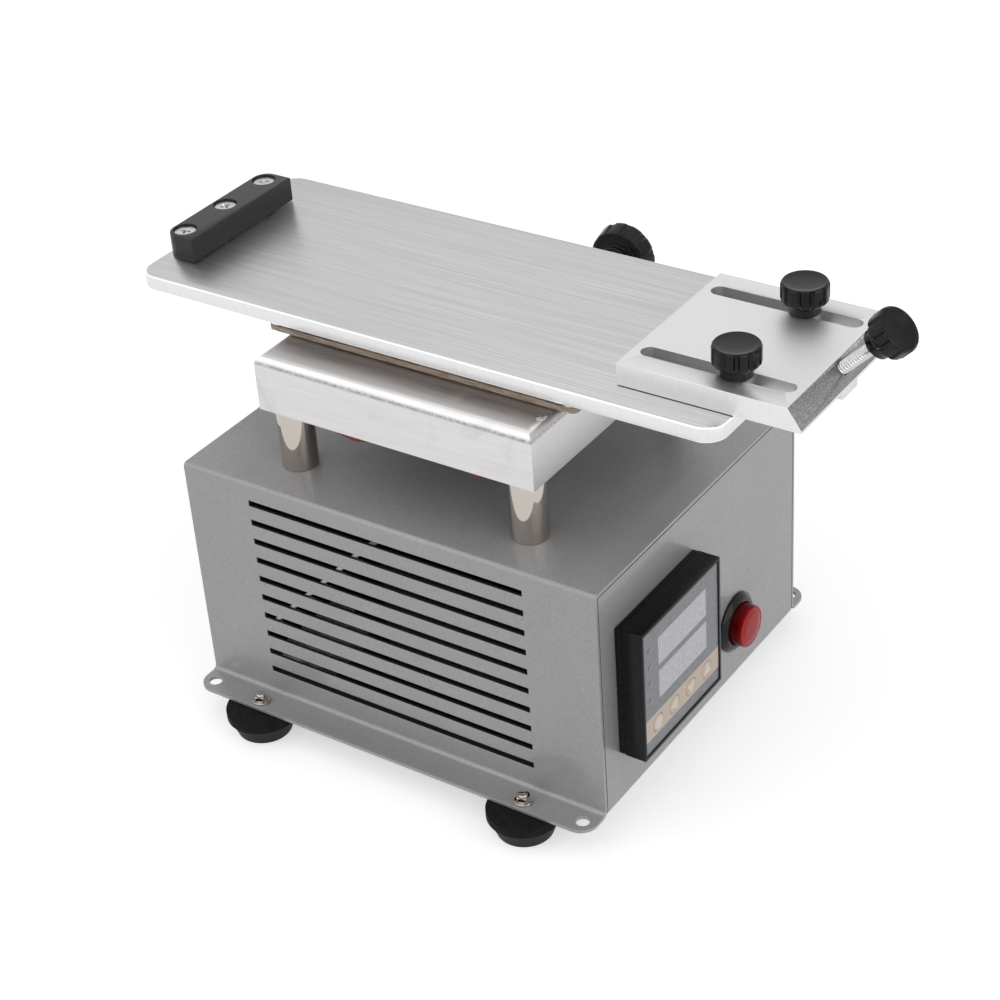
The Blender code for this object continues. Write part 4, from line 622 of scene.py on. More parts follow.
def rod(radius, low, high, matrix=Matrix.Identity(4)):
    """A closed round bar along local Z, for cutting."""
    return turned([(0, low), (radius, low), (radius, high), (0, high)], 32, matrix)


def joined(parts):
    """One bmesh from several."""
    whole = bmesh.new()
    for part in parts:
        mesh = bpy.data.meshes.new("part")
        part.to_mesh(mesh)
        part.free()
        whole.from_mesh(mesh)
        bpy.data.meshes.remove(mesh)
    return whole


def slab(low, high, radius=0.0, edge=0.0, axis=2, segments=8, edge_segments=3):
    """A block with round corners about one axis and softened edges."""
    low, high = Vector(low), Vector(high)
    bm = block(low, high)
    if radius:
        corners = edges_where(bm, lambda a, b: abs((a - b)[axis]) > 0.9 * (high - low)[axis])
        bevelled(bm, corners, radius, segments)
    if edge:
        rims = edges_where(bm, lambda a, b: round(a[axis], 7) == round(b[axis], 7))
        bevelled(bm, rims, edge, edge_segments)
    return bm


def facing_slab(depths, outline, margin, radius, edge=0.0, **counts):
    """A slab that faces X, its outline drawn in by a margin from a box's."""
    (near, far), (low, high) = depths, outline
    return slab((near, low.y + margin, low.z + margin), (far, high.y - margin, high.z - margin),
                radius, edge, axis=0, **counts)


def carve(obj, cutters):
    """Cuts closed meshes out of a piece and keeps the result as its mesh."""
    tools = []
    for bm in cutters:
        bmesh.ops.recalc_face_normals(bm, faces=bm.faces)
        mesh = bpy.data.meshes.new("cutter")
        bm.to_mesh(mesh)
        bm.free()
        tool = bpy.data.objects.new("cutter", mesh)
        bpy.context.scene.collection.objects.link(tool)
        cut = obj.modifiers.new("Cut", "BOOLEAN")
        cut.object = tool
        cut.solver = "EXACT"
        tools.append(tool)
    bake(obj)
    for tool in tools:
        mesh = tool.data
        bpy.data.objects.remove(tool)
        bpy.data.meshes.remove(mesh)


def bake(obj, sharp=32):
    """Applies the piece's modifiers to its mesh."""
    bpy.context.view_layer.update()
    graph = bpy.context.evaluated_depsgraph_get()
    mesh = bpy.data.meshes.new_from_object(obj.evaluated_get(graph), depsgraph=graph)
    old = obj.data
    obj.modifiers.clear()
    obj.data = mesh
    bpy.data.meshes.remove(old)
    mesh.name = obj.name
    mesh.shade_smooth()
    mesh.set_sharp_from_angle(angle=math.radians(sharp))


def soften(obj, width, segments=2, angle=40):
    """A small bevel on the sharp edges, with the flat faces kept flat."""
    edge = obj.modifiers.new("Edges", "BEVEL")
    edge.width = width
    edge.segments = segments
    edge.limit_method = "ANGLE"
    edge.angle_limit = math.radians(angle)
    edge.harden_normals = True
    edge.use_clamp_overlap = True


def thicken(obj):
    """Gives a folded sheet its thickness, inwards."""
    fold = obj.modifiers.new("Sheet", "SOLIDIFY")
    fold.thickness = sizes().sheet
    fold.offset = -1
    fold.use_even_offset = True
    return fold


def dress_faces(obj, finish_name, chosen):
    """Gives a second finish to the faces whose normals are chosen."""
    index = len(obj.data.materials)
    obj.data.materials.append(finish(finish_name))
    for face in obj.data.polygons:
        if chosen(face.normal):
            face.material_index = index


# Stage


CAMERA_PLACE = (0.35499, -0.51669, 0.48232)
CAMERA_TURN = (56.901, 3.607, 33.519)
LENS = 82.807
LAMPS = (
    ("key", (-0.75, -1.35, 1.35), (3.2, 2.7), 16),
    ("fill", (1.9, -0.4, 0.9), (2.2, 1.5), 14.5),
    ("top", (0.0, 0.4, 1.9), (2.2, 2.0), 3),
)
LIT_LEVEL = 0.42
PAPER_GLOW = 0.54
PAPER_FADE = (0.45, 1.3)


def background_rays(tree):
    """1 for the rays that show the background: seen directly, mirrored or through glass."""
    paths = add_node(tree, "ShaderNodeLightPath").outputs
    total = paths["Is Camera Ray"]
    for name in ("Is Glossy Ray", "Is Transmission Ray"):
        links = {0: total, 1: paths[name]}
        total = add_node(tree, "ShaderNodeMath", links, operation="ADD", use_clamp=True).outputs[0]
    return total


class SEPARATOR_OT_stage(bpy.types.Operator):
    """Camera, lamps, pale floor and background"""

    bl_idname = "separator.stage"
    bl_label = "Stage"

    def execute(self, context):
        scene = context.scene
        data = bpy.data.cameras.new("camera")
        data.lens = LENS
        data.sensor_width = 36
        data.clip_start = 0.01
        camera = bpy.data.objects.new("camera", data)
        camera.location = CAMERA_PLACE
        camera.rotation_euler = [math.radians(angle) for angle in CAMERA_TURN]
        scene.collection.objects.link(camera)
        scene.camera = camera
        scene.view_settings.view_transform = "Standard"
        scene.world = self.studio()
        self.floor()
        for lamp in LAMPS:
            self.lamp(*lamp)
        return {"FINISHED"}

    def studio(self):
        """White where it is seen, dimmer where it lights the object."""
        world = bpy.data.worlds.new("studio")
        world.use_nodes = True
        tree = world.node_tree
        tree.nodes.clear()
        shaders = []
        for level in (LIT_LEVEL, 1.0):
            links = {"Color": (1, 1, 1, 1), "Strength": level}
            shaders.append(add_node(tree, "ShaderNodeBackground", links).outputs[0])
        links = {0: background_rays(tree), 1: shaders[0], 2: shaders[1]}
        mix = add_node(tree, "ShaderNodeMixShader", links).outputs[0]
        add_node(tree, "ShaderNodeOutputWorld", {"Surface": mix})
        return world

    def floor(self):
        """Pale paper that keeps the shadow near the object and fades to white far from it."""
        bm = bmesh.new()
        bmesh.ops.create_grid(bm, x_segments=1, y_segments=1, size=2.5)
        mesh = bpy.data.meshes.new("floor")
        bm.to_mesh(mesh)
        bm.free()
        floor = bpy.data.objects.new("floor", mesh)
        bpy.context.scene.collection.objects.link(floor)
        paper = Finish("paper", (0.75, 0.75, 0.75), 0.9, 0.0, {})
        diffuse = paper.shader.outputs[0]
        glow = paper.node("ShaderNodeEmission", {"Strength": PAPER_GLOW}).outputs[0]
        lit = paper.node("ShaderNodeAddShader", {0: diffuse, 1: glow}).outputs[0]
        reach = paper.node("ShaderNodeVectorMath", {0: paper.place}, operation="LENGTH").outputs["Value"]
        links = {"Value": reach, "From Min": PAPER_FADE[0], "From Max": PAPER_FADE[1]}
        far = paper.node("ShaderNodeMapRange", links, interpolation_type="SMOOTHSTEP").outputs["Result"]
        white = paper.node("ShaderNodeEmission").outputs[0]
        seen = paper.node("ShaderNodeMixShader", {0: far, 1: lit, 2: white}).outputs[0]
        links = {0: background_rays(paper.tree), 1: diffuse, 2: seen}
        mix = paper.node("ShaderNodeMixShader", links).outputs[0]
        paper.tree.links.new(mix, paper.tree.nodes["Material Output"].inputs["Surface"])
        mesh.materials.append(paper.material)

    def lamp(self, name, place, size, power):
        data = bpy.data.lights.new(name, "AREA")
        data.shape = "RECTANGLE"
        data.size, data.size_y = size
        data.energy = power
        lamp = bpy.data.objects.new(name, data)
        lamp.location = place
        aim = Vector((0, 0, 0.1)) - Vector(place)
        lamp.rotation_euler = aim.to_track_quat("-Z", "Y").to_euler()
        bpy.context.scene.collection.objects.link(lamp)


# Case


FLANGE_CORNER = 6 * MM
FLANGE_HOLE_PLACE = (73.4 * MM, 68.3 * MM)
FLANGE_HOLE_RADIUS = 2.25 * MM


class SEPARATOR_OT_case_cover(bpy.types.Operator):
    """Folded and slotted cover with its turned-out flanges"""

    bl_idname = "separator.case_cover"
    bl_label = "Case cover"

    def execute(self, context):
        s = sizes()
        low, high = node_box("case_cover")
        middle = node_centre("case_cover").x
        flange_top = low.z + s.sheet
        wall = case_wall()
        tops = [s.vent_top - index * s.vent_pitch for index in range(s.vents)]
        levels = [level for top in tops for level in (top, top - s.vent_height)]
        path = [(low.y, flange_top), (-wall, flange_top)]
        path += [(-wall, z) for z in reversed(levels)]
        path += [(-wall, high.z), (wall, high.z)]
        path += [(wall, z) for z in levels]
        path += [(wall, flange_top), (high.y, flange_top)]
        bm = bmesh.new()
        verts = [bm.verts.new((low.x, y, z)) for y, z in path]
        section = [bm.edges.new(pair) for pair in zip(verts, verts[1:])]
        start = low.x
        for station in (middle - s.vent_length / 2, middle + s.vent_length / 2, high.x):
            made = bmesh.ops.extrude_edge_only(bm, edges=section)["geom"]
            bmesh.ops.translate(bm, verts=verts_of(made), vec=(station - start, 0, 0))
            section = [item for item in made if isinstance(item, bmesh.types.BMEdge)]
            section = [e for e in section if abs(e.verts[0].co.x - e.verts[1].co.x) < 1e-7]
            start = station

        def in_vent(centre):
            on_wall = abs(centre.x - middle) < s.vent_length / 2 and abs(abs(centre.y) - wall) < 1e-6
            return on_wall and any(top - s.vent_height < centre.z < top for top in tops)

        slots = [face for face in bm.faces if in_vent(face.calc_center_median())]
        bmesh.ops.delete(bm, geom=slots, context="FACES")
        corners = [v for v in bm.verts if abs(abs(v.co.y) - high.y) < 1e-6 and (
            abs(v.co.x - low.x) < 1e-6 or abs(v.co.x - high.x) < 1e-6)]
        bevelled(bm, corners, FLANGE_CORNER, 10, affect="VERTICES")

        def is_bend(a, b):
            along = abs(a.x - b.x) > 1e-4 and abs(a.z - b.z) < 1e-6
            at_wall = all(abs(abs(end.y) - wall) < 1e-6 for end in (a, b))
            return along and at_wall and (abs(a.z - high.z) < 1e-6 or abs(a.z - flange_top) < 1e-6)

        bevelled(bm, edges_where(bm, is_bend), s.case_bend, 6)
        bmesh.ops.recalc_face_normals(bm, faces=bm.faces)
        top_face = max(bm.faces, key=lambda face: face.calc_center_median().z)
        if top_face.normal.z < 0:
            bmesh.ops.reverse_faces(bm, faces=bm.faces)
        cover = new_piece("cover", bm, "case_paint", "case", ["case_cover"], normals=False)
        # The cover's inner faces take the second finish: painted shade, near black.
        thicken(cover).material_offset = 1
        cover.data.materials.append(finish("primer"))
        cutters = []
        for sx in (-1, 1):
            for sy in (-1, 1):
                x, y = FLANGE_HOLE_PLACE
                place = (middle + sx * x, sy * y, flange_top)
                cutters.append(rod(FLANGE_HOLE_RADIUS, -2 * s.sheet, s.sheet, at(place)))
        carve(cover, cutters)
        soften(cover, s.edge_wear)
        return {"FINISHED"}


class SEPARATOR_OT_feet(bpy.types.Operator):
    """Tapered rubber feet with a rounded lower rim"""

    bl_idname = "separator.feet"
    bl_label = "Feet"

    def execute(self, context):
        for index in range(1, 5):
            node = f"foot_{index}"
            low, high = node_box(node)
            centre = node_centre(node)
            disc, top = (high.x - low.x) / 2 / MM, high.z / MM
            lip = 6.3
            profile = [(2.0, 4.0), (4.2, 4.0), (4.2, 0.3), (4.5, 0)]
            for step in range(5):
                angle = math.pi / 2 * step / 4
                profile.append((9.3 - 0.6 * (1 - math.sin(angle)), 0.6 * (1 - math.cos(angle))))
            profile += [
                (disc - 0.75, lip - 0.25), (disc - 0.7, lip), (disc - 0.2, lip), (disc, lip + 0.2),
                (disc, top - 0.25), (disc - 0.08, top - 0.08), (disc - 0.25, top), (2.0, top), (2.0, 4.0),
            ]
            bm = turned(in_mm(profile), 72, at((centre.x, centre.y, 0)))
            foot = new_piece(f"rubber_foot_{index}", bm, "rubber", "case", [node])
            # painted light: the feet's cones are coloured paler than their shaded top faces
            dress_faces(foot, "worn_rubber", lambda normal: -0.9 < normal.z < -0.05)
        return {"FINISHED"}


def hex_bar(flats, low, high, chamfer, matrix):
    """A nut's body: a round bar with six flats, which leave its chamfers as arcs."""
    bm = bmesh.new()
    radius = flats / math.sqrt(3)
    bmesh.ops.create_cone(
        bm, cap_ends=True, segments=48, radius1=radius, radius2=radius, depth=high - low,
        matrix=Matrix.Translation((0, 0, (low + high) / 2)),
    )
    bevelled(bm, edges_where(bm, lambda a, b: abs(a.z - b.z) < 1e-7), chamfer, 1)
    for side in range(6):
        angle = math.pi / 6 + math.pi / 3 * side
        normal = Vector((math.cos(angle), math.sin(angle), 0))
        made = bmesh.ops.bisect_plane(
            bm, geom=bm.verts[:] + bm.edges[:] + bm.faces[:], plane_co=normal * flats / 2,
            plane_no=normal, clear_outer=True, dist=1e-7,
        )
        cut = [item for item in made["geom_cut"] if isinstance(item, bmesh.types.BMEdge)]
        bmesh.ops.contextual_create(bm, geom=cut)
    return shaped(bm, matrix)


def thread(radius, low, high, pitch, depth, matrix, steps=28):
    """A threaded shank, from a plain one pulled in along a helix."""
    rows = max(4, round((high - low) / pitch * 8))
    profile = [(0, low), (radius - depth, low)]
    profile += [(radius, low + (high - low) * row / rows) for row in range(1, rows)]
    profile += [(radius - depth, high), (0, high)]
    bm = turned(profile, steps)
    for vert in bm.verts:
        reach = math.hypot(vert.co.x, vert.co.y)
        if reach < radius * 0.99:
            continue
        turn = math.atan2(vert.co.y, vert.co.x) / math.tau
        phase = (vert.co.z / pitch - turn) % 1
        groove = min(1, max(0, 2.6 * abs(phase - 0.5) - 0.3))
        factor = (radius - depth * groove) / reach
        vert.co.x *= factor
        vert.co.y *= factor
    return shaped(bm, matrix)


class SEPARATOR_OT_foot_screws(bpy.types.Operator):
    """Nuts, washers and thread ends on the flanges"""

    bl_idname = "separator.foot_screws"
    bl_label = "Foot screws"

    def execute(self, context):
        flange = node_box("case_cover")[0].z / MM + sizes().sheet / MM
        nut = flange + 0.8
        for index in range(1, 5):
            node = f"foot_screw_{index}"
            bottom = node_box(node)[0].z / MM
            centre = node_centre(node)
            matrix = at((centre.x, centre.y, 0), Matrix.Rotation(0.4 + index, 4, "Z"))
            washer = [(1.5, flange), (2.9, flange), (3.0, flange + 0.1), (3.0, nut - 0.1), (2.9, nut),
                      (1.5, nut), (1.5, flange)]
            head = [(0, bottom), (2.4, bottom), (3.1, bottom + 0.6), (3.4, bottom + 2), (1.5, bottom + 2),
                    (1.5, flange), (0, flange)]
            bm = joined([
                turned(in_mm(washer), 48, matrix),
                hex_bar(4.2 * MM, nut * MM, (nut + 1.9) * MM, 0.3 * MM, matrix),
                thread(1.5 * MM, (flange - 1) * MM, (nut + 2.5) * MM, 0.5 * MM, 0.2 * MM, matrix),
                turned(in_mm(head), 32, matrix),
            ])
            new_piece(f"foot_fastener_{index}", bm, "nickel", "case", [node])
        return {"FINISHED"}


# Controller and button


ALONG_X = Matrix(((0, 0, 1, 0), (1, 0, 0, 0), (0, 1, 0, 0), (0, 0, 0, 1)))
ALONG_Y = Matrix(((1, 0, 0, 0), (0, 0, 1, 0), (0, -1, 0, 0), (0, 0, 0, 1)))
LEAN = Matrix(((1, 0, 0, 0), (0, 1, 0.14, 0), (0, 0, 1, 0), (0, 0, 0, 1)))
FACE_DEPTH = 0.42 * MM
STRIP_BOTTOM, STRIP_TOP = 6.0 * MM, 14.2 * MM
LIGHT_LEVELS = (39.3, 33.0, 27.2, 20.7)
LIGHT_INSET = 5.0 * MM
KEYS = (("key_set", None), ("key_left", math.pi / 2), ("key_down", math.pi), ("key_up", 0))


def segment_bars(width, height, bar):
    """The seven bars of one figure, as low and high corners about its centre."""
    half, tall = width / 2, height / 2
    reach = half - bar * 0.7
    bars = [((-reach, z - bar / 2), (reach, z + bar / 2)) for z in (-tall, 0, tall)]
    rise = tall / 2 - bar * 0.7
    for y in (-half, half):
        for z in (-tall / 2, tall / 2):
            bars.append(((y - bar / 2, z - rise), (y + bar / 2, z + rise)))
    return bars


class SEPARATOR_OT_controller(bpy.types.Operator):
    """Bezel, film, windows with unlit figures, lights and keys"""

    bl_idname = "separator.controller"
    bl_label = "Controller"

    def execute(self, context):
        outline = low, high = node_box("controller_housing")
        face = high.x - FACE_DEPTH
        self.bezel(outline)
        film = facing_slab((face - 0.3 * MM, face), outline, 1.33 * MM, 0.4 * MM, 0.04 * MM, segments=3,
                           edge_segments=1)
        film = new_piece("face_film", film, "face_film", "case", ["controller_face"])
        carve(film, self.key_holes(face))
        strip = slab((face - 0.1 * MM, low.y + 1.5 * MM, low.z + STRIP_BOTTOM),
                     (face + 0.05 * MM, high.y - 1.5 * MM, low.z + STRIP_TOP), 0.1 * MM, 0.02 * MM, axis=0,
                     segments=2, edge_segments=1)
        strip = new_piece("key_strip", strip, "key_strip", "case")
        carve(strip, self.key_holes(face))
        for name, node in (("upper_window", "display_upper"), ("lower_window", "display_lower")):
            self.window(face, name, node)
        light = in_mm([(0, -0.1), (1.05, -0.1), (1.05, 0.03), (0.9, 0.08), (0, 0.1)])
        lights = []
        for level in LIGHT_LEVELS:
            place = at((face, low.y + LIGHT_INSET, low.z + level * MM), ALONG_X)
            lights.append(turned(light, 32, place))
        new_piece("lights", joined(lights), "dark_lens", "case")
        for index, (body, turn) in enumerate(KEYS, 1):
            self.key(face, f"key_{index}", body, turn)
        return {"FINISHED"}

    def bezel(self, outline):
        """Rim with a groove behind it, and the housing that goes through the panel."""
        low, high = outline
        panel = node_box("chassis")[1].x
        seam = panel + 1.9 * MM
        rear = facing_slab((panel + 0.1 * MM, seam), outline, 0.25 * MM, 0.5 * MM, 0.12 * MM, segments=4,
                           edge_segments=2)
        groove = facing_slab((seam - 0.2 * MM, seam + 0.5 * MM), outline, 0.9 * MM, 0.5 * MM)
        rim = facing_slab((seam + 0.18 * MM, high.x), outline, 0, 0.9 * MM, 0.3 * MM, segments=5)
        bmesh.ops.recalc_face_normals(rim, faces=rim.faces)
        front = [max(rim.faces, key=lambda f: (round(f.calc_center_median().x, 7), f.calc_area()))]
        bmesh.ops.inset_region(rim, faces=front, thickness=0.9 * MM, depth=0)
        bmesh.ops.inset_region(rim, faces=front, thickness=0.12 * MM, depth=-1.6 * MM)
        tail = facing_slab((low.x, panel + 0.2 * MM), outline, 1.8 * MM, 0.8 * MM, 0.3 * MM)
        bm = joined([rear, groove, rim, tail])
        new_piece("bezel", bm, "bezel_plastic", "case", ["controller_housing"])

    def window(self, face, name, node):
        """A pane with four leaning figures."""
        low, high = outline = node_box(node)
        pane = facing_slab((face - 0.1 * MM, face + 0.04 * MM), outline, 0, 0.25 * MM, 0.02 * MM,
                           segments=3, edge_segments=1)
        new_piece(name, pane, "window_film", "case", [node])
        width, height = high.y - low.y, high.z - low.z
        bars = []
        for digit in range(4):
            place = (face + 0.03 * MM, low.y + width * (digit + 0.5) / 4, (low.z + high.z) / 2)
            for near, far in segment_bars(width * 0.135, height * 0.70, 0.85 * MM):
                bar = slab((0, *near), (0.03 * MM, *far), 0.12 * MM, axis=0, segments=1)
                bars.append(shaped(bar, at(place, LEAN)))
        new_piece(name + "_figures", joined(bars), "segment_ghost", "case")

    def key_holes(self, face):
        """Cutters for the openings in which the keys move."""
        depths = (face - 2 * MM, face + 2 * MM)
        return [facing_slab(depths, node_box(f"key_{index}"), 0.05 * MM, 2.75 * MM) for index in range(1, 5)]

    def key(self, face, node, body, turn):
        """A tan base with a raised mark: a round one, or an arrow turned its way."""
        base = facing_slab((face - 0.6 * MM, face + 0.12 * MM), node_box(node), 0.2 * MM, 2.6 * MM, 0.08 * MM,
                           edge_segments=2)
        new_piece(f"{body}_base", base, "key_strip", body, [node])
        bm = bmesh.new()
        sides, radius = (40, 2.3 * MM) if turn is None else (3, 2.9 * MM)
        bmesh.ops.create_cone(
            bm, cap_ends=True, segments=sides, radius1=radius, radius2=radius, depth=0.4 * MM,
        )
        if turn is not None:
            bevelled(bm, edges_where(bm, lambda a, b: abs(a.z - b.z) > 0.1 * MM), 0.7 * MM, 5)
        bevelled(bm, edges_where(bm, lambda a, b: min(a.z, b.z) > 0.1 * MM), 0.15 * MM, 3)
        centre = node_centre(node)
        spin = Matrix.Rotation(turn or 0, 4, "Z")
        shaped(bm, at((face + 0.05 * MM, centre.y, centre.z), ALONG_X @ spin))
        new_piece(f"{body}_mark", bm, "key_mark", body)


class SEPARATOR_OT_button(bpy.types.Operator):
    """Black bezel ring and red cap"""

    bl_idname = "separator.button"
    bl_label = "Push button"

    def execute(self, context):
        low, high = node_box("button_body")
        centre = node_centre("button_body")
        panel = node_box("chassis")[1].x
        matrix = at((panel, centre.y, centre.z), ALONG_X)
        tall, depth = (high.x - panel) / MM, (low.x - panel) / MM
        radius = (high.y - low.y) / 2 / MM
        profile = [
            (0, depth), (8.2, depth), (8.2, 0.1), (radius - 0.1, 0.1), (radius, 0.2), (radius, 0.7),
            (radius - 0.25, 1.05), (8.9, tall - 0.12), (8.55, tall), (7.75, tall), (7.55, tall - 0.15),
            (7.5, depth + 3), (0, depth + 3),
        ]
        ring = turned(in_mm(profile), 96, matrix)
        new_piece("button_ring", ring, "gloss_plastic", "case", ["button_body"])
        low, high = node_box("start_button")
        foot, top = (low.x - panel) / MM, (high.x - panel) / MM
        radius = (high.y - low.y) / 2 / MM
        profile = [(0, foot), (radius, foot), (radius, top - 0.75)]
        for step in range(1, 6):
            angle = math.pi / 2 * step / 6
            profile.append((radius - 0.55 * (1 - math.cos(angle)), top - 0.75 + 0.6 * math.sin(angle)))
        profile += [(radius - 0.9, top - 0.14), (radius - 1.1, top - 0.2), (radius - 1.3, top - 0.12),
                    (radius * 0.5, top - 0.02), (0, top)]
        cap = turned(in_mm(profile), 96, matrix)
        new_piece("button_cap", cap, "red_cap", "start", ["start_button"])
        return {"FINISHED"}


# Posts and heater box


class SEPARATOR_OT_posts(bpy.types.Operator):
    """Polished posts with the screws at their ends"""

    bl_idname = "separator.posts"
    bl_label = "Posts"

    def execute(self, context):
        seat = node_box("case_cover")[1].z / MM + 0.02
        top = node_box("heater_box")[0].z / MM - 0.02
        for index in range(1, 5):
            node = f"post_{index}"
            low, high = node_box(node)
            centre = node_centre(node)
            radius = (high.x - low.x) / 2 / MM
            foot, end = low.z / MM, high.z / MM
            profile = [
                (0, foot), (2.7, foot), (3.6, foot + 0.9), (3.6, foot + 2.4), (2.0, foot + 2.4), (2.0, seat),
                (radius - 0.35, seat), (radius - 0.08, seat + 0.1), (radius, seat + 0.35),
                (radius, top - 0.35), (radius - 0.08, top - 0.1), (radius - 0.35, top), (2.0, top),
                (2.0, end - 2.4), (3.6, end - 2.4), (3.6, end - 0.9), (2.7, end), (0, end),
            ]
            bm = turned(in_mm(profile), 96, at((centre.x, centre.y, 0)))
            new_piece(f"polished_post_{index}", bm, "nickel", "case", [node])
        return {"FINISHED"}


FLANGE_REACH = 14 * MM
WELD_PLACE = Vector((-3.0, 10.5, -0.2)) * MM


class SEPARATOR_OT_heater_box(bpy.types.Operator):
    """Folded pan with mitred bends and a weld at one corner"""

    bl_idname = "separator.heater_box"
    bl_label = "Heater box"

    def execute(self, context):
        s = sizes()
        low, high = node_box("heater_box")
        bm = block(low, high)
        bevelled(bm, edges_where(bm, lambda a, b: min(a.z, b.z) > high.z - 1e-6), s.box_bend, 10)
        bmesh.ops.recalc_face_normals(bm, faces=bm.faces)
        floor = [min(bm.faces, key=lambda f: f.calc_center_median().z)]
        bmesh.ops.delete(bm, geom=floor, context="FACES_ONLY")
        box = new_piece("steel_box", bm, "satin_steel", "case", ["heater_box"], normals=False)
        thicken(box)
        knob = node_centre("brake_screw")
        pivot = node_centre("pivot_hub")
        washer = node_centre("thrust_washer")
        carve(box, [
            rod(2.4 * MM, -3 * MM, 3 * MM, at((knob.x, high.y, knob.z), ALONG_Y)),
            rod(4.8 * MM, -3 * MM, 3 * MM, at((pivot.x, washer.y, high.z))),
        ])
        flanges = []
        for side in (-1, 1):
            outer = (low.x + high.x) / 2 + side * ((high.x - low.x) / 2 - 1.1 * MM)
            near, far = sorted((outer, outer - side * FLANGE_REACH))
            flanges.append(slab((near, low.y + 2.5 * MM, low.z + 0.01 * MM),
                                (far, high.y - 2.5 * MM, low.z + s.sheet), 0, 0.1 * MM, edge_segments=1))
        new_piece("box_flanges", joined(flanges), "satin_steel", "case")
        bm = bmesh.new()
        bmesh.ops.create_icosphere(bm, subdivisions=4, radius=1.5 * MM)
        for vert in bm.verts:
            swell = 1 + 0.16 * math.sin(vert.co.x * 4100) * math.cos(vert.co.y * 3700 + vert.co.z * 2900)
            vert.co *= swell
        lean = Matrix.Rotation(math.radians(80), 4, "Z") @ Matrix.Diagonal((1.5, 0.75, 0.4, 1))
        shaped(bm, at(Vector((high.x, low.y, high.z)) + WELD_PLACE, lean))
        new_piece("weld_bead", bm, "satin_steel", "case", sharp=180)
        return {"FINISHED"}


# Heating plate and what rides on it


PLATE_CORNER = 7 * MM
STOP_CORNER = 5 * MM
STOP_SCREW_TURNS = (0.3, 1.1, 0.7)


class SEPARATOR_OT_heating_plate(bpy.types.Operator):
    """Brushed plate with round corners and a bright broken edge"""

    bl_idname = "separator.heating_plate"
    bl_label = "Heating plate"

    def execute(self, context):
        bm = slab(*node_box("heating_plate"), PLATE_CORNER, 0.45 * MM, segments=16, edge_segments=2)
        plate = new_piece("hot_plate", bm, "brushed_aluminium", "turntable",
                          ["heating_plate"], sharp=25)
        dress_faces(plate, "sawn_edge", lambda normal: abs(normal.z) < 0.1)
        dress_faces(plate, "polished_edge", lambda normal: 0.1 <= abs(normal.z) < 0.97)
        return {"FINISHED"}


def cross_recess(size, depth):
    """A cross-head recess, tapering inwards, with its mouth at height 0."""
    bars = []
    for turn in (0, math.pi / 2):
        bm = bmesh.new()
        bmesh.ops.create_cube(bm, size=1)
        for vert in bm.verts:
            top = vert.co.z > 0
            vert.co.x = math.copysign(size if top else size * 0.45, vert.co.x)
            vert.co.y = math.copysign(size * 0.24 if top else size * 0.14, vert.co.y)
            vert.co.z = 0.2 * MM if top else -depth
        bars.append(shaped(bm, Matrix.Rotation(turn, 4, "Z")))
    return bars


def stop_screw(name, node, turn):
    """A screw whose flat head lies just under the stop's top, with a cross recess."""
    low, high = node_box(node)
    centre = node_centre(node)
    top = high.z - 0.45 * MM
    length = (top - low.z) / MM
    head, shank = 3.55, 1.8
    profile = [(0, -length), (shank - 0.3, -length), (shank, -length + 0.4), (shank, shank - head),
               (head - 0.06, -0.16), (head, -0.08), (head - 0.08, 0), (0, 0.02)]
    screw = new_piece(name, turned(in_mm(profile)), "zinc", "turntable", [node])
    carve(screw, cross_recess(head * MM * 0.52, head * MM * 0.5))
    screw.data.transform(at((centre.x, centre.y, top), Matrix.Rotation(turn, 4, "Z")))


class SEPARATOR_OT_stop(bpy.types.Operator):
    """Black stop block with its three countersunk screws"""

    bl_idname = "separator.stop"
    bl_label = "Stop block"

    def execute(self, context):
        low, high = node_box("stop_block")
        bm = block(low, high)
        outer = edges_where(bm, lambda a, b: max(a.x, b.x) < low.x + 1e-6 and abs(a.z - b.z) > 1 * MM)
        bevelled(bm, outer, STOP_CORNER, 14)
        bevelled(bm, edges_where(bm, lambda a, b: min(a.z, b.z) > high.z - 1e-6), 0.4 * MM, 2)
        stop = new_piece("stop_bar", bm, "black_anodised", "turntable", ["stop_block"],
                         sharp=25)
        sink = in_mm([(0, -12), (2.1, -12), (2.1, -2.7), (3.9, -0.9), (3.95, -0.12), (4.1, 0.5), (0, 0.5)])
        places = [node_centre(f"stop_screw_{index}") for index in range(1, 4)]
        carve(stop, [turned(sink, 64, at((place.x, place.y, high.z))) for place in places])
        for index, turn in enumerate(STOP_SCREW_TURNS, 1):
            stop_screw(f"stop_fixing_{index}", f"stop_screw_{index}", turn)
        return {"FINISHED"}


CLAMP_CLEARANCE = 0.3 * MM
BEVEL_START, BEVEL_DROP = 55 * MM, 6.4 * MM
SLOT_START, SLOT_END = 2.6 * MM, 52.6 * MM
SLOT_OFFSET, SLOT_RADIUS = 20.8 * MM, 2.75 * MM
BOSS_START, BOSS_END, BOSS_HALF = 118.0 * MM, 127.8 * MM, 4.9 * MM
TILT = Matrix.Rotation(math.radians(45), 4, "Y")


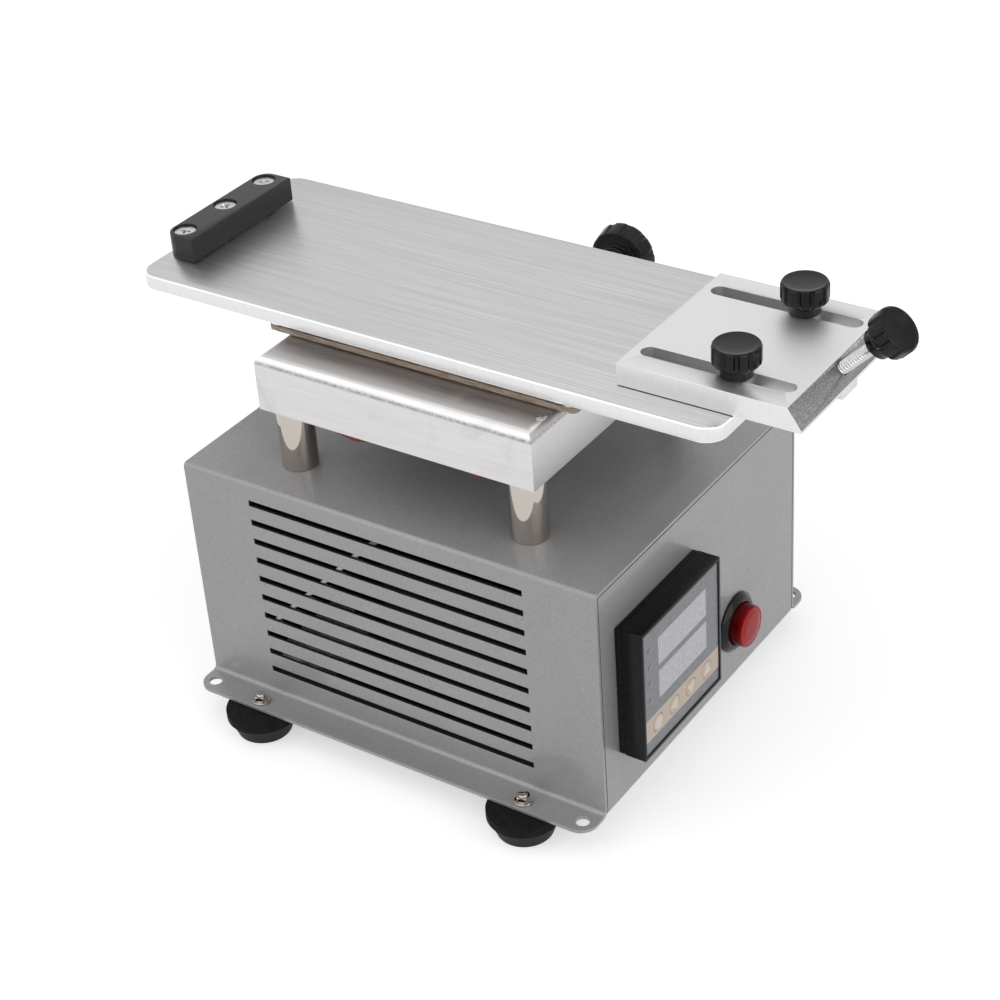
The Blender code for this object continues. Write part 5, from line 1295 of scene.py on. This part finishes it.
class SEPARATOR_OT_clamp(bpy.types.Operator):
    """Clamp plate with two slots, a bevelled end and a boss under it"""

    bl_idname = "separator.clamp"
    bl_label = "Clamp plate"

    def execute(self, context):
        low, high = node_box("clamp_plate")
        bottom = node_box("heating_plate")[1].z + CLAMP_CLEARANCE
        top = high.z
        left, right = low.x, high.x
        bm = bmesh.new()
        outline = [(left, bottom), (right, bottom), (right, top - BEVEL_DROP), (left + BEVEL_START, top),
                   (left, top)]
        side = bm.faces.new([bm.verts.new((x, low.y, z)) for x, z in outline])
        made = bmesh.ops.extrude_face_region(bm, geom=[side])["geom"]
        bmesh.ops.translate(bm, verts=verts_of(made), vec=(0, high.y - low.y, 0))
        plate = new_piece("clamp_bar", bm, "blasted_aluminium", "clamp",
                          ["clamp_plate"], sharp=25)
        cutters = []
        for y in (-SLOT_OFFSET, SLOT_OFFSET):
            cutters.append(slab((left + SLOT_START, y - SLOT_RADIUS, bottom - 1 * MM),
                                (left + SLOT_END, y + SLOT_RADIUS, top + 1 * MM), 2.749 * MM, segments=16))
        cutters.append(rod(2.25 * MM, -20 * MM, 0, at(node_centre("end_screw"), TILT)))
        carve(plate, cutters)
        soften(plate, 0.35 * MM, 1, 25)
        bake(plate, 20)
        slope = Vector((BEVEL_DROP, 0, right - left - BEVEL_START)).normalized()
        dress_faces(plate, "sawn_edge", lambda normal: abs(normal.y) > 0.98)
        dress_faces(plate, "polished_edge", lambda normal: 0.2 < normal.z < 0.97)
        dress_faces(plate, "milled_aluminium", lambda normal: normal.angle(slope) < 0.02)
        middle = node_centre("case_cover").x
        boss = slab((middle + BOSS_START, -BOSS_HALF, low.z),
                    (middle + BOSS_END, BOSS_HALF, bottom + 0.5 * MM), 0.6 * MM, 0.25 * MM, segments=3,
                    edge_segments=2)
        new_piece("clamp_boss", boss, "blasted_aluminium", "clamp")
        return {"FINISHED"}


# Knobs and screws


KNOB_HEIGHT = 9.8
SHALLOW_DISH, DEEP_DISH = 0.45, 2.4


def fluted_knob(rows, fluted, depth, matrix):
    """A knob spun from (radius, height) rings in millimetres, some of them grooved."""
    flutes = sizes().flutes
    profile = in_mm(rows)
    bm = turned(profile, flutes * 14)
    for vert in bm.verts:
        reach = math.hypot(vert.co.x, vert.co.y)
        if any(abs(vert.co.z - height) < 1e-6 and abs(reach - radius) < 1e-6
               for radius, height in profile[fluted]):
            phase = (math.atan2(vert.co.y, vert.co.x) / math.tau * flutes) % 1
            off = abs(phase - 0.5) / 0.20
            groove = 0 if off >= 1 else math.cos(off * math.pi / 2) ** 0.7
            factor = 1 - depth * groove / reach
            vert.co.x *= factor
            vert.co.y *= factor
    return shaped(bm, matrix)


def small_knob(height, dish, matrix):
    """The lock knobs' and the end knob's shape, from the seat up."""
    rows = [
        (0, 0), (4.75, 0), (4.9, 0.15), (4.9, 2.2), (5.0, 2.5), (5.6, 3.0), (6.6, 3.6), (7.15, 4.2),
        (7.3, 4.9), (7.3, 6.2), (7.3, 7.5), (7.3, height - 1.0), (7.2, height - 0.62),
        (6.95, height - 0.25), (6.75, height - 0.03), (6.6, height), (6.45, height - 0.04 * dish),
        (6.2, height - 0.2 * dish), (5.6, height - 0.45 * dish), (4.6, height - 0.7 * dish),
        (3.2, height - 0.9 * dish), (1.6, height - dish), (0, height - 1.03 * dish),
    ]
    return fluted_knob(rows, slice(6, 13), 0.75 * MM, matrix)


BRAKE_KNOB = (
    (0, 0), (5.3, 0), (5.5, 0.2), (5.5, 1.6), (5.9, 1.9), (7.6, 2.2), (8.3, 2.0), (9.3, 1.95),
    (9.75, 2.15), (10.15, 2.4), (10.3, 2.9), (10.6, 4.2), (10.85, 5.5), (11.1, 6.8), (11.25, 7.6),
    (11.1, 8.1), (10.6, 8.5), (10.2, 8.58), (9.6, 8.4), (5, 8.1), (0, 8.05),
)


class SEPARATOR_OT_knobs(bpy.types.Operator):
    """Lock knobs on their studs, end knob on its inclined screw, and the brake knob"""

    bl_idname = "separator.knobs"
    bl_label = "Knobs"

    def execute(self, context):
        seat = node_box("clamp_plate")[1].z + 0.1 * MM
        for side, turn in (("front", 0.35), ("back", 1.2)):
            node = f"lock_knob_{side}"
            low, high = node_box(node)
            centre = node_centre(node)
            place = at((centre.x, centre.y, seat), Matrix.Rotation(turn, 4, "Z"))
            self.grip(f"lock_grip_{side}", small_knob((high.z - seat) / MM, SHALLOW_DISH, place), node,
                      f"lock_{side}")
            self.screw(f"lock_stud_{side}", low.z, seat + 1 * MM, at((centre.x, centre.y, 0)), f"lock_{side}")

        place = at(self.joint_place("end_turn"), TILT)
        knob = self.grip("end_grip_knob", small_knob(KNOB_HEIGHT, DEEP_DISH, place), "end_knob", "end_grip")
        outward = TILT @ Vector((0, 0, 1))
        dress_faces(knob, "satin_plastic", lambda normal: normal.dot(outward) > 0.7)
        self.screw("end_thread", -21.5 * MM, 1 * MM, place, "end_grip", ["end_screw"], 36)

        origin = self.joint_place("brake_turn")
        place = at(origin, Matrix.Rotation(-math.pi / 2, 4, "X"))
        self.grip("brake_grip", fluted_knob(BRAKE_KNOB, slice(9, 16), 0.9 * MM, place), "brake_knob", "brake")
        start = node_box("brake_screw")[0].y - origin.y
        self.screw("brake_thread", start, 1 * MM, place, "brake", ["brake_screw"])
        return {"FINISHED"}

    def joint_place(self, name):
        return Vector(next(joint["pos_m"] for joint in frame["joints"] if joint["name"] == name))

    def grip(self, name, bm, node, body):
        return new_piece(name, bm, "gloss_plastic", body, [node], sharp=40)

    def screw(self, name, start, end, place, body, replaces=(), steps=28):
        s = sizes()
        bm = thread(2 * MM, start, end, s.thread_pitch, s.thread_depth, place, steps)
        new_piece(name, bm, "zinc", body, replaces)


# Leads


HEATER_ROUTE = (
    (-20.00, 12.00, 86.0), (-20.00, 12.00, 91.0), (-20.00, 12.00, 97.0), (-20.80, 10.80, 102.0),
    (-24.50, 5.00, 111.0), (-34.00, -14.00, 118.5), (-33.00, -40.00, 119.5), (-26.00, -47.80, 116.5),
    (-16.50, -48.40, 113.9), (-7.00, -48.40, 116.5), (8.00, -48.00, 119.5), (24.00, -48.40, 116.0),
    (30.00, -48.40, 114.2), (33.00, -45.00, 116.5), (27.00, -29.00, 118.0), (11.00, -14.00, 112.5),
    (2.00, -4.00, 109.5), (0.00, 0.00, 113.0), (0.00, 0.00, 118.0), (0.00, 0.00, 135.0),
)
INNER_ROUTE = (
    (-57.40, -50.70, 15.8), (-59.10, -50.70, 15.8), (-62.00, -56.00, 22.0), (-60.30, -57.90, 26.5),
    (-57.30, -59.60, 31.2), (-49.90, -59.90, 38.8), (-28.00, -59.90, 61.1), (-10.00, -59.40, 79.6),
    (-3.00, -54.00, 85.5), (-8.00, -44.00, 86.0), (-16.10, -35.00, 79.0), (-17.20, -30.00, 69.0),
    (-16.00, -29.30, 63.3), (-13.00, -29.30, 62.0), (-10.30, -29.30, 62.0),
)


def smooth_route(points, pieces):
    """Points on a smooth curve through the route's own, which count from the case's centre."""
    shift = Vector((node_centre("case_cover").x, 0, 0))
    route = [Vector(point) * MM + shift for point in points]
    ends = [2 * route[0] - route[1], *route, 2 * route[-1] - route[-2]]
    found = [route[0]]
    for before, start, end, after in zip(ends, ends[1:], ends[2:], ends[3:]):
        for index in range(1, pieces + 1):
            t = index / pieces
            bend = 2 * start + (end - before) * t
            bend += (2 * before - 5 * start + 4 * end - after) * t**2
            bend += (3 * start - before - 3 * end + after) * t**3
            found.append(bend / 2)
    return found


class SEPARATOR_OT_leads(bpy.types.Operator):
    """Red silicone heater lead and the pale lead behind the vents"""

    bl_idname = "separator.leads"
    bl_label = "Leads"

    def execute(self, context):
        self.tube("silicone_lead", HEATER_ROUTE, 1.5 * MM, "red_silicone", "red_silicone", "heater_lead")
        self.tube("sensor_lead", INNER_ROUTE, 0.85 * MM, "lead_sleeve", "pale_silicone", "inner_lead")
        return {"FINISHED"}

    def tube(self, name, points, radius, finish_name, slot, node):
        curve = bpy.data.curves.new(name, "CURVE")
        curve.dimensions = "3D"
        curve.bevel_depth = radius
        curve.bevel_resolution = 5
        curve.use_fill_caps = True
        route = smooth_route(points, 6)
        spline = curve.splines.new("POLY")
        spline.points.add(len(route) - 1)
        for point, place in zip(spline.points, route):
            point.co = (*place, 1)
        curve.materials.append(finish(finish_name))
        obj = bpy.data.objects.new(name, curve)
        bpy.context.scene.collection.objects.link(obj)
        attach(obj, "case")
        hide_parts(node)


# CAD nodes that stay, with their finishes


KEPT = {
    "tray_paint": ["chassis"],
    "bezel_plastic": ["controller_clip", "mains_inlet"],
    "gloss_plastic": ["button_nut"],
    "nickel": ["inlet_screw_1", "inlet_screw_2"],
    "white_plastic": ["relay", "terminal_block"],
    "pale_sleeve": ["supply_lead"],
    "rubber": ["lead_grommet"],
    "brass": ["thrust_washer"],
    "brushed_aluminium": ["brake_collar"],
    "plain_steel": ["pivot_hub", "hub_nut"],
    "heater_silicone": ["heater_mat"],
    "red_silicone": ["mat_lead"],
    "fibre_pad": ["insulation_pad"],
    "mica": ["insulation_board"],
    "zinc": [f"board_screw_{index}" for index in range(1, 5)],
}


class SEPARATOR_OT_kept_nodes(bpy.types.Operator):
    """Finishes for the CAD nodes that stay as they are"""

    bl_idname = "separator.kept_nodes"
    bl_label = "Kept nodes"

    def execute(self, context):
        for finish_name, nodes in KEPT.items():
            for node in nodes:
                for slot in frame["nodes"][node].material_slots:
                    slot.material = finish(finish_name)
        return {"FINISHED"}


class SEPARATOR_PT_sidebar(bpy.types.Panel):
    """Lists the pieces and the settings"""

    bl_idname = "SEPARATOR_PT_sidebar"
    bl_label = "Screen separator"
    bl_space_type = "VIEW_3D"
    bl_region_type = "UI"
    bl_category = "Separator"

    def draw(self, context):
        for settings in (sizes(), colours()):
            for name in type(settings).__annotations__:
                self.layout.prop(settings, name)
        for operator in OPERATORS:
            self.layout.operator(operator.bl_idname)


OPERATORS = (
    SEPARATOR_OT_stage,
    SEPARATOR_OT_case_cover,
    SEPARATOR_OT_feet,
    SEPARATOR_OT_foot_screws,
    SEPARATOR_OT_controller,
    SEPARATOR_OT_button,
    SEPARATOR_OT_posts,
    SEPARATOR_OT_heater_box,
    SEPARATOR_OT_heating_plate,
    SEPARATOR_OT_stop,
    SEPARATOR_OT_clamp,
    SEPARATOR_OT_knobs,
    SEPARATOR_OT_leads,
    SEPARATOR_OT_kept_nodes,
)
CLASSES = (SeparatorSizes, SeparatorColours, *OPERATORS, SEPARATOR_PT_sidebar)


def register():
    for cls in CLASSES:
        bpy.utils.register_class(cls)
    bpy.types.Scene.separator_sizes = bpy.props.PointerProperty(type=SeparatorSizes)
    bpy.types.Scene.separator_colours = bpy.props.PointerProperty(type=SeparatorColours)


def unregister():
    del bpy.types.Scene.separator_colours
    del bpy.types.Scene.separator_sizes
    for cls in reversed(CLASSES):
        bpy.utils.unregister_class(cls)


def main():
    register()
    for operator in OPERATORS:
        name = operator.bl_idname.split(".")[1]
        getattr(bpy.ops.separator, name)()


if __name__ == "__main__":
    main()
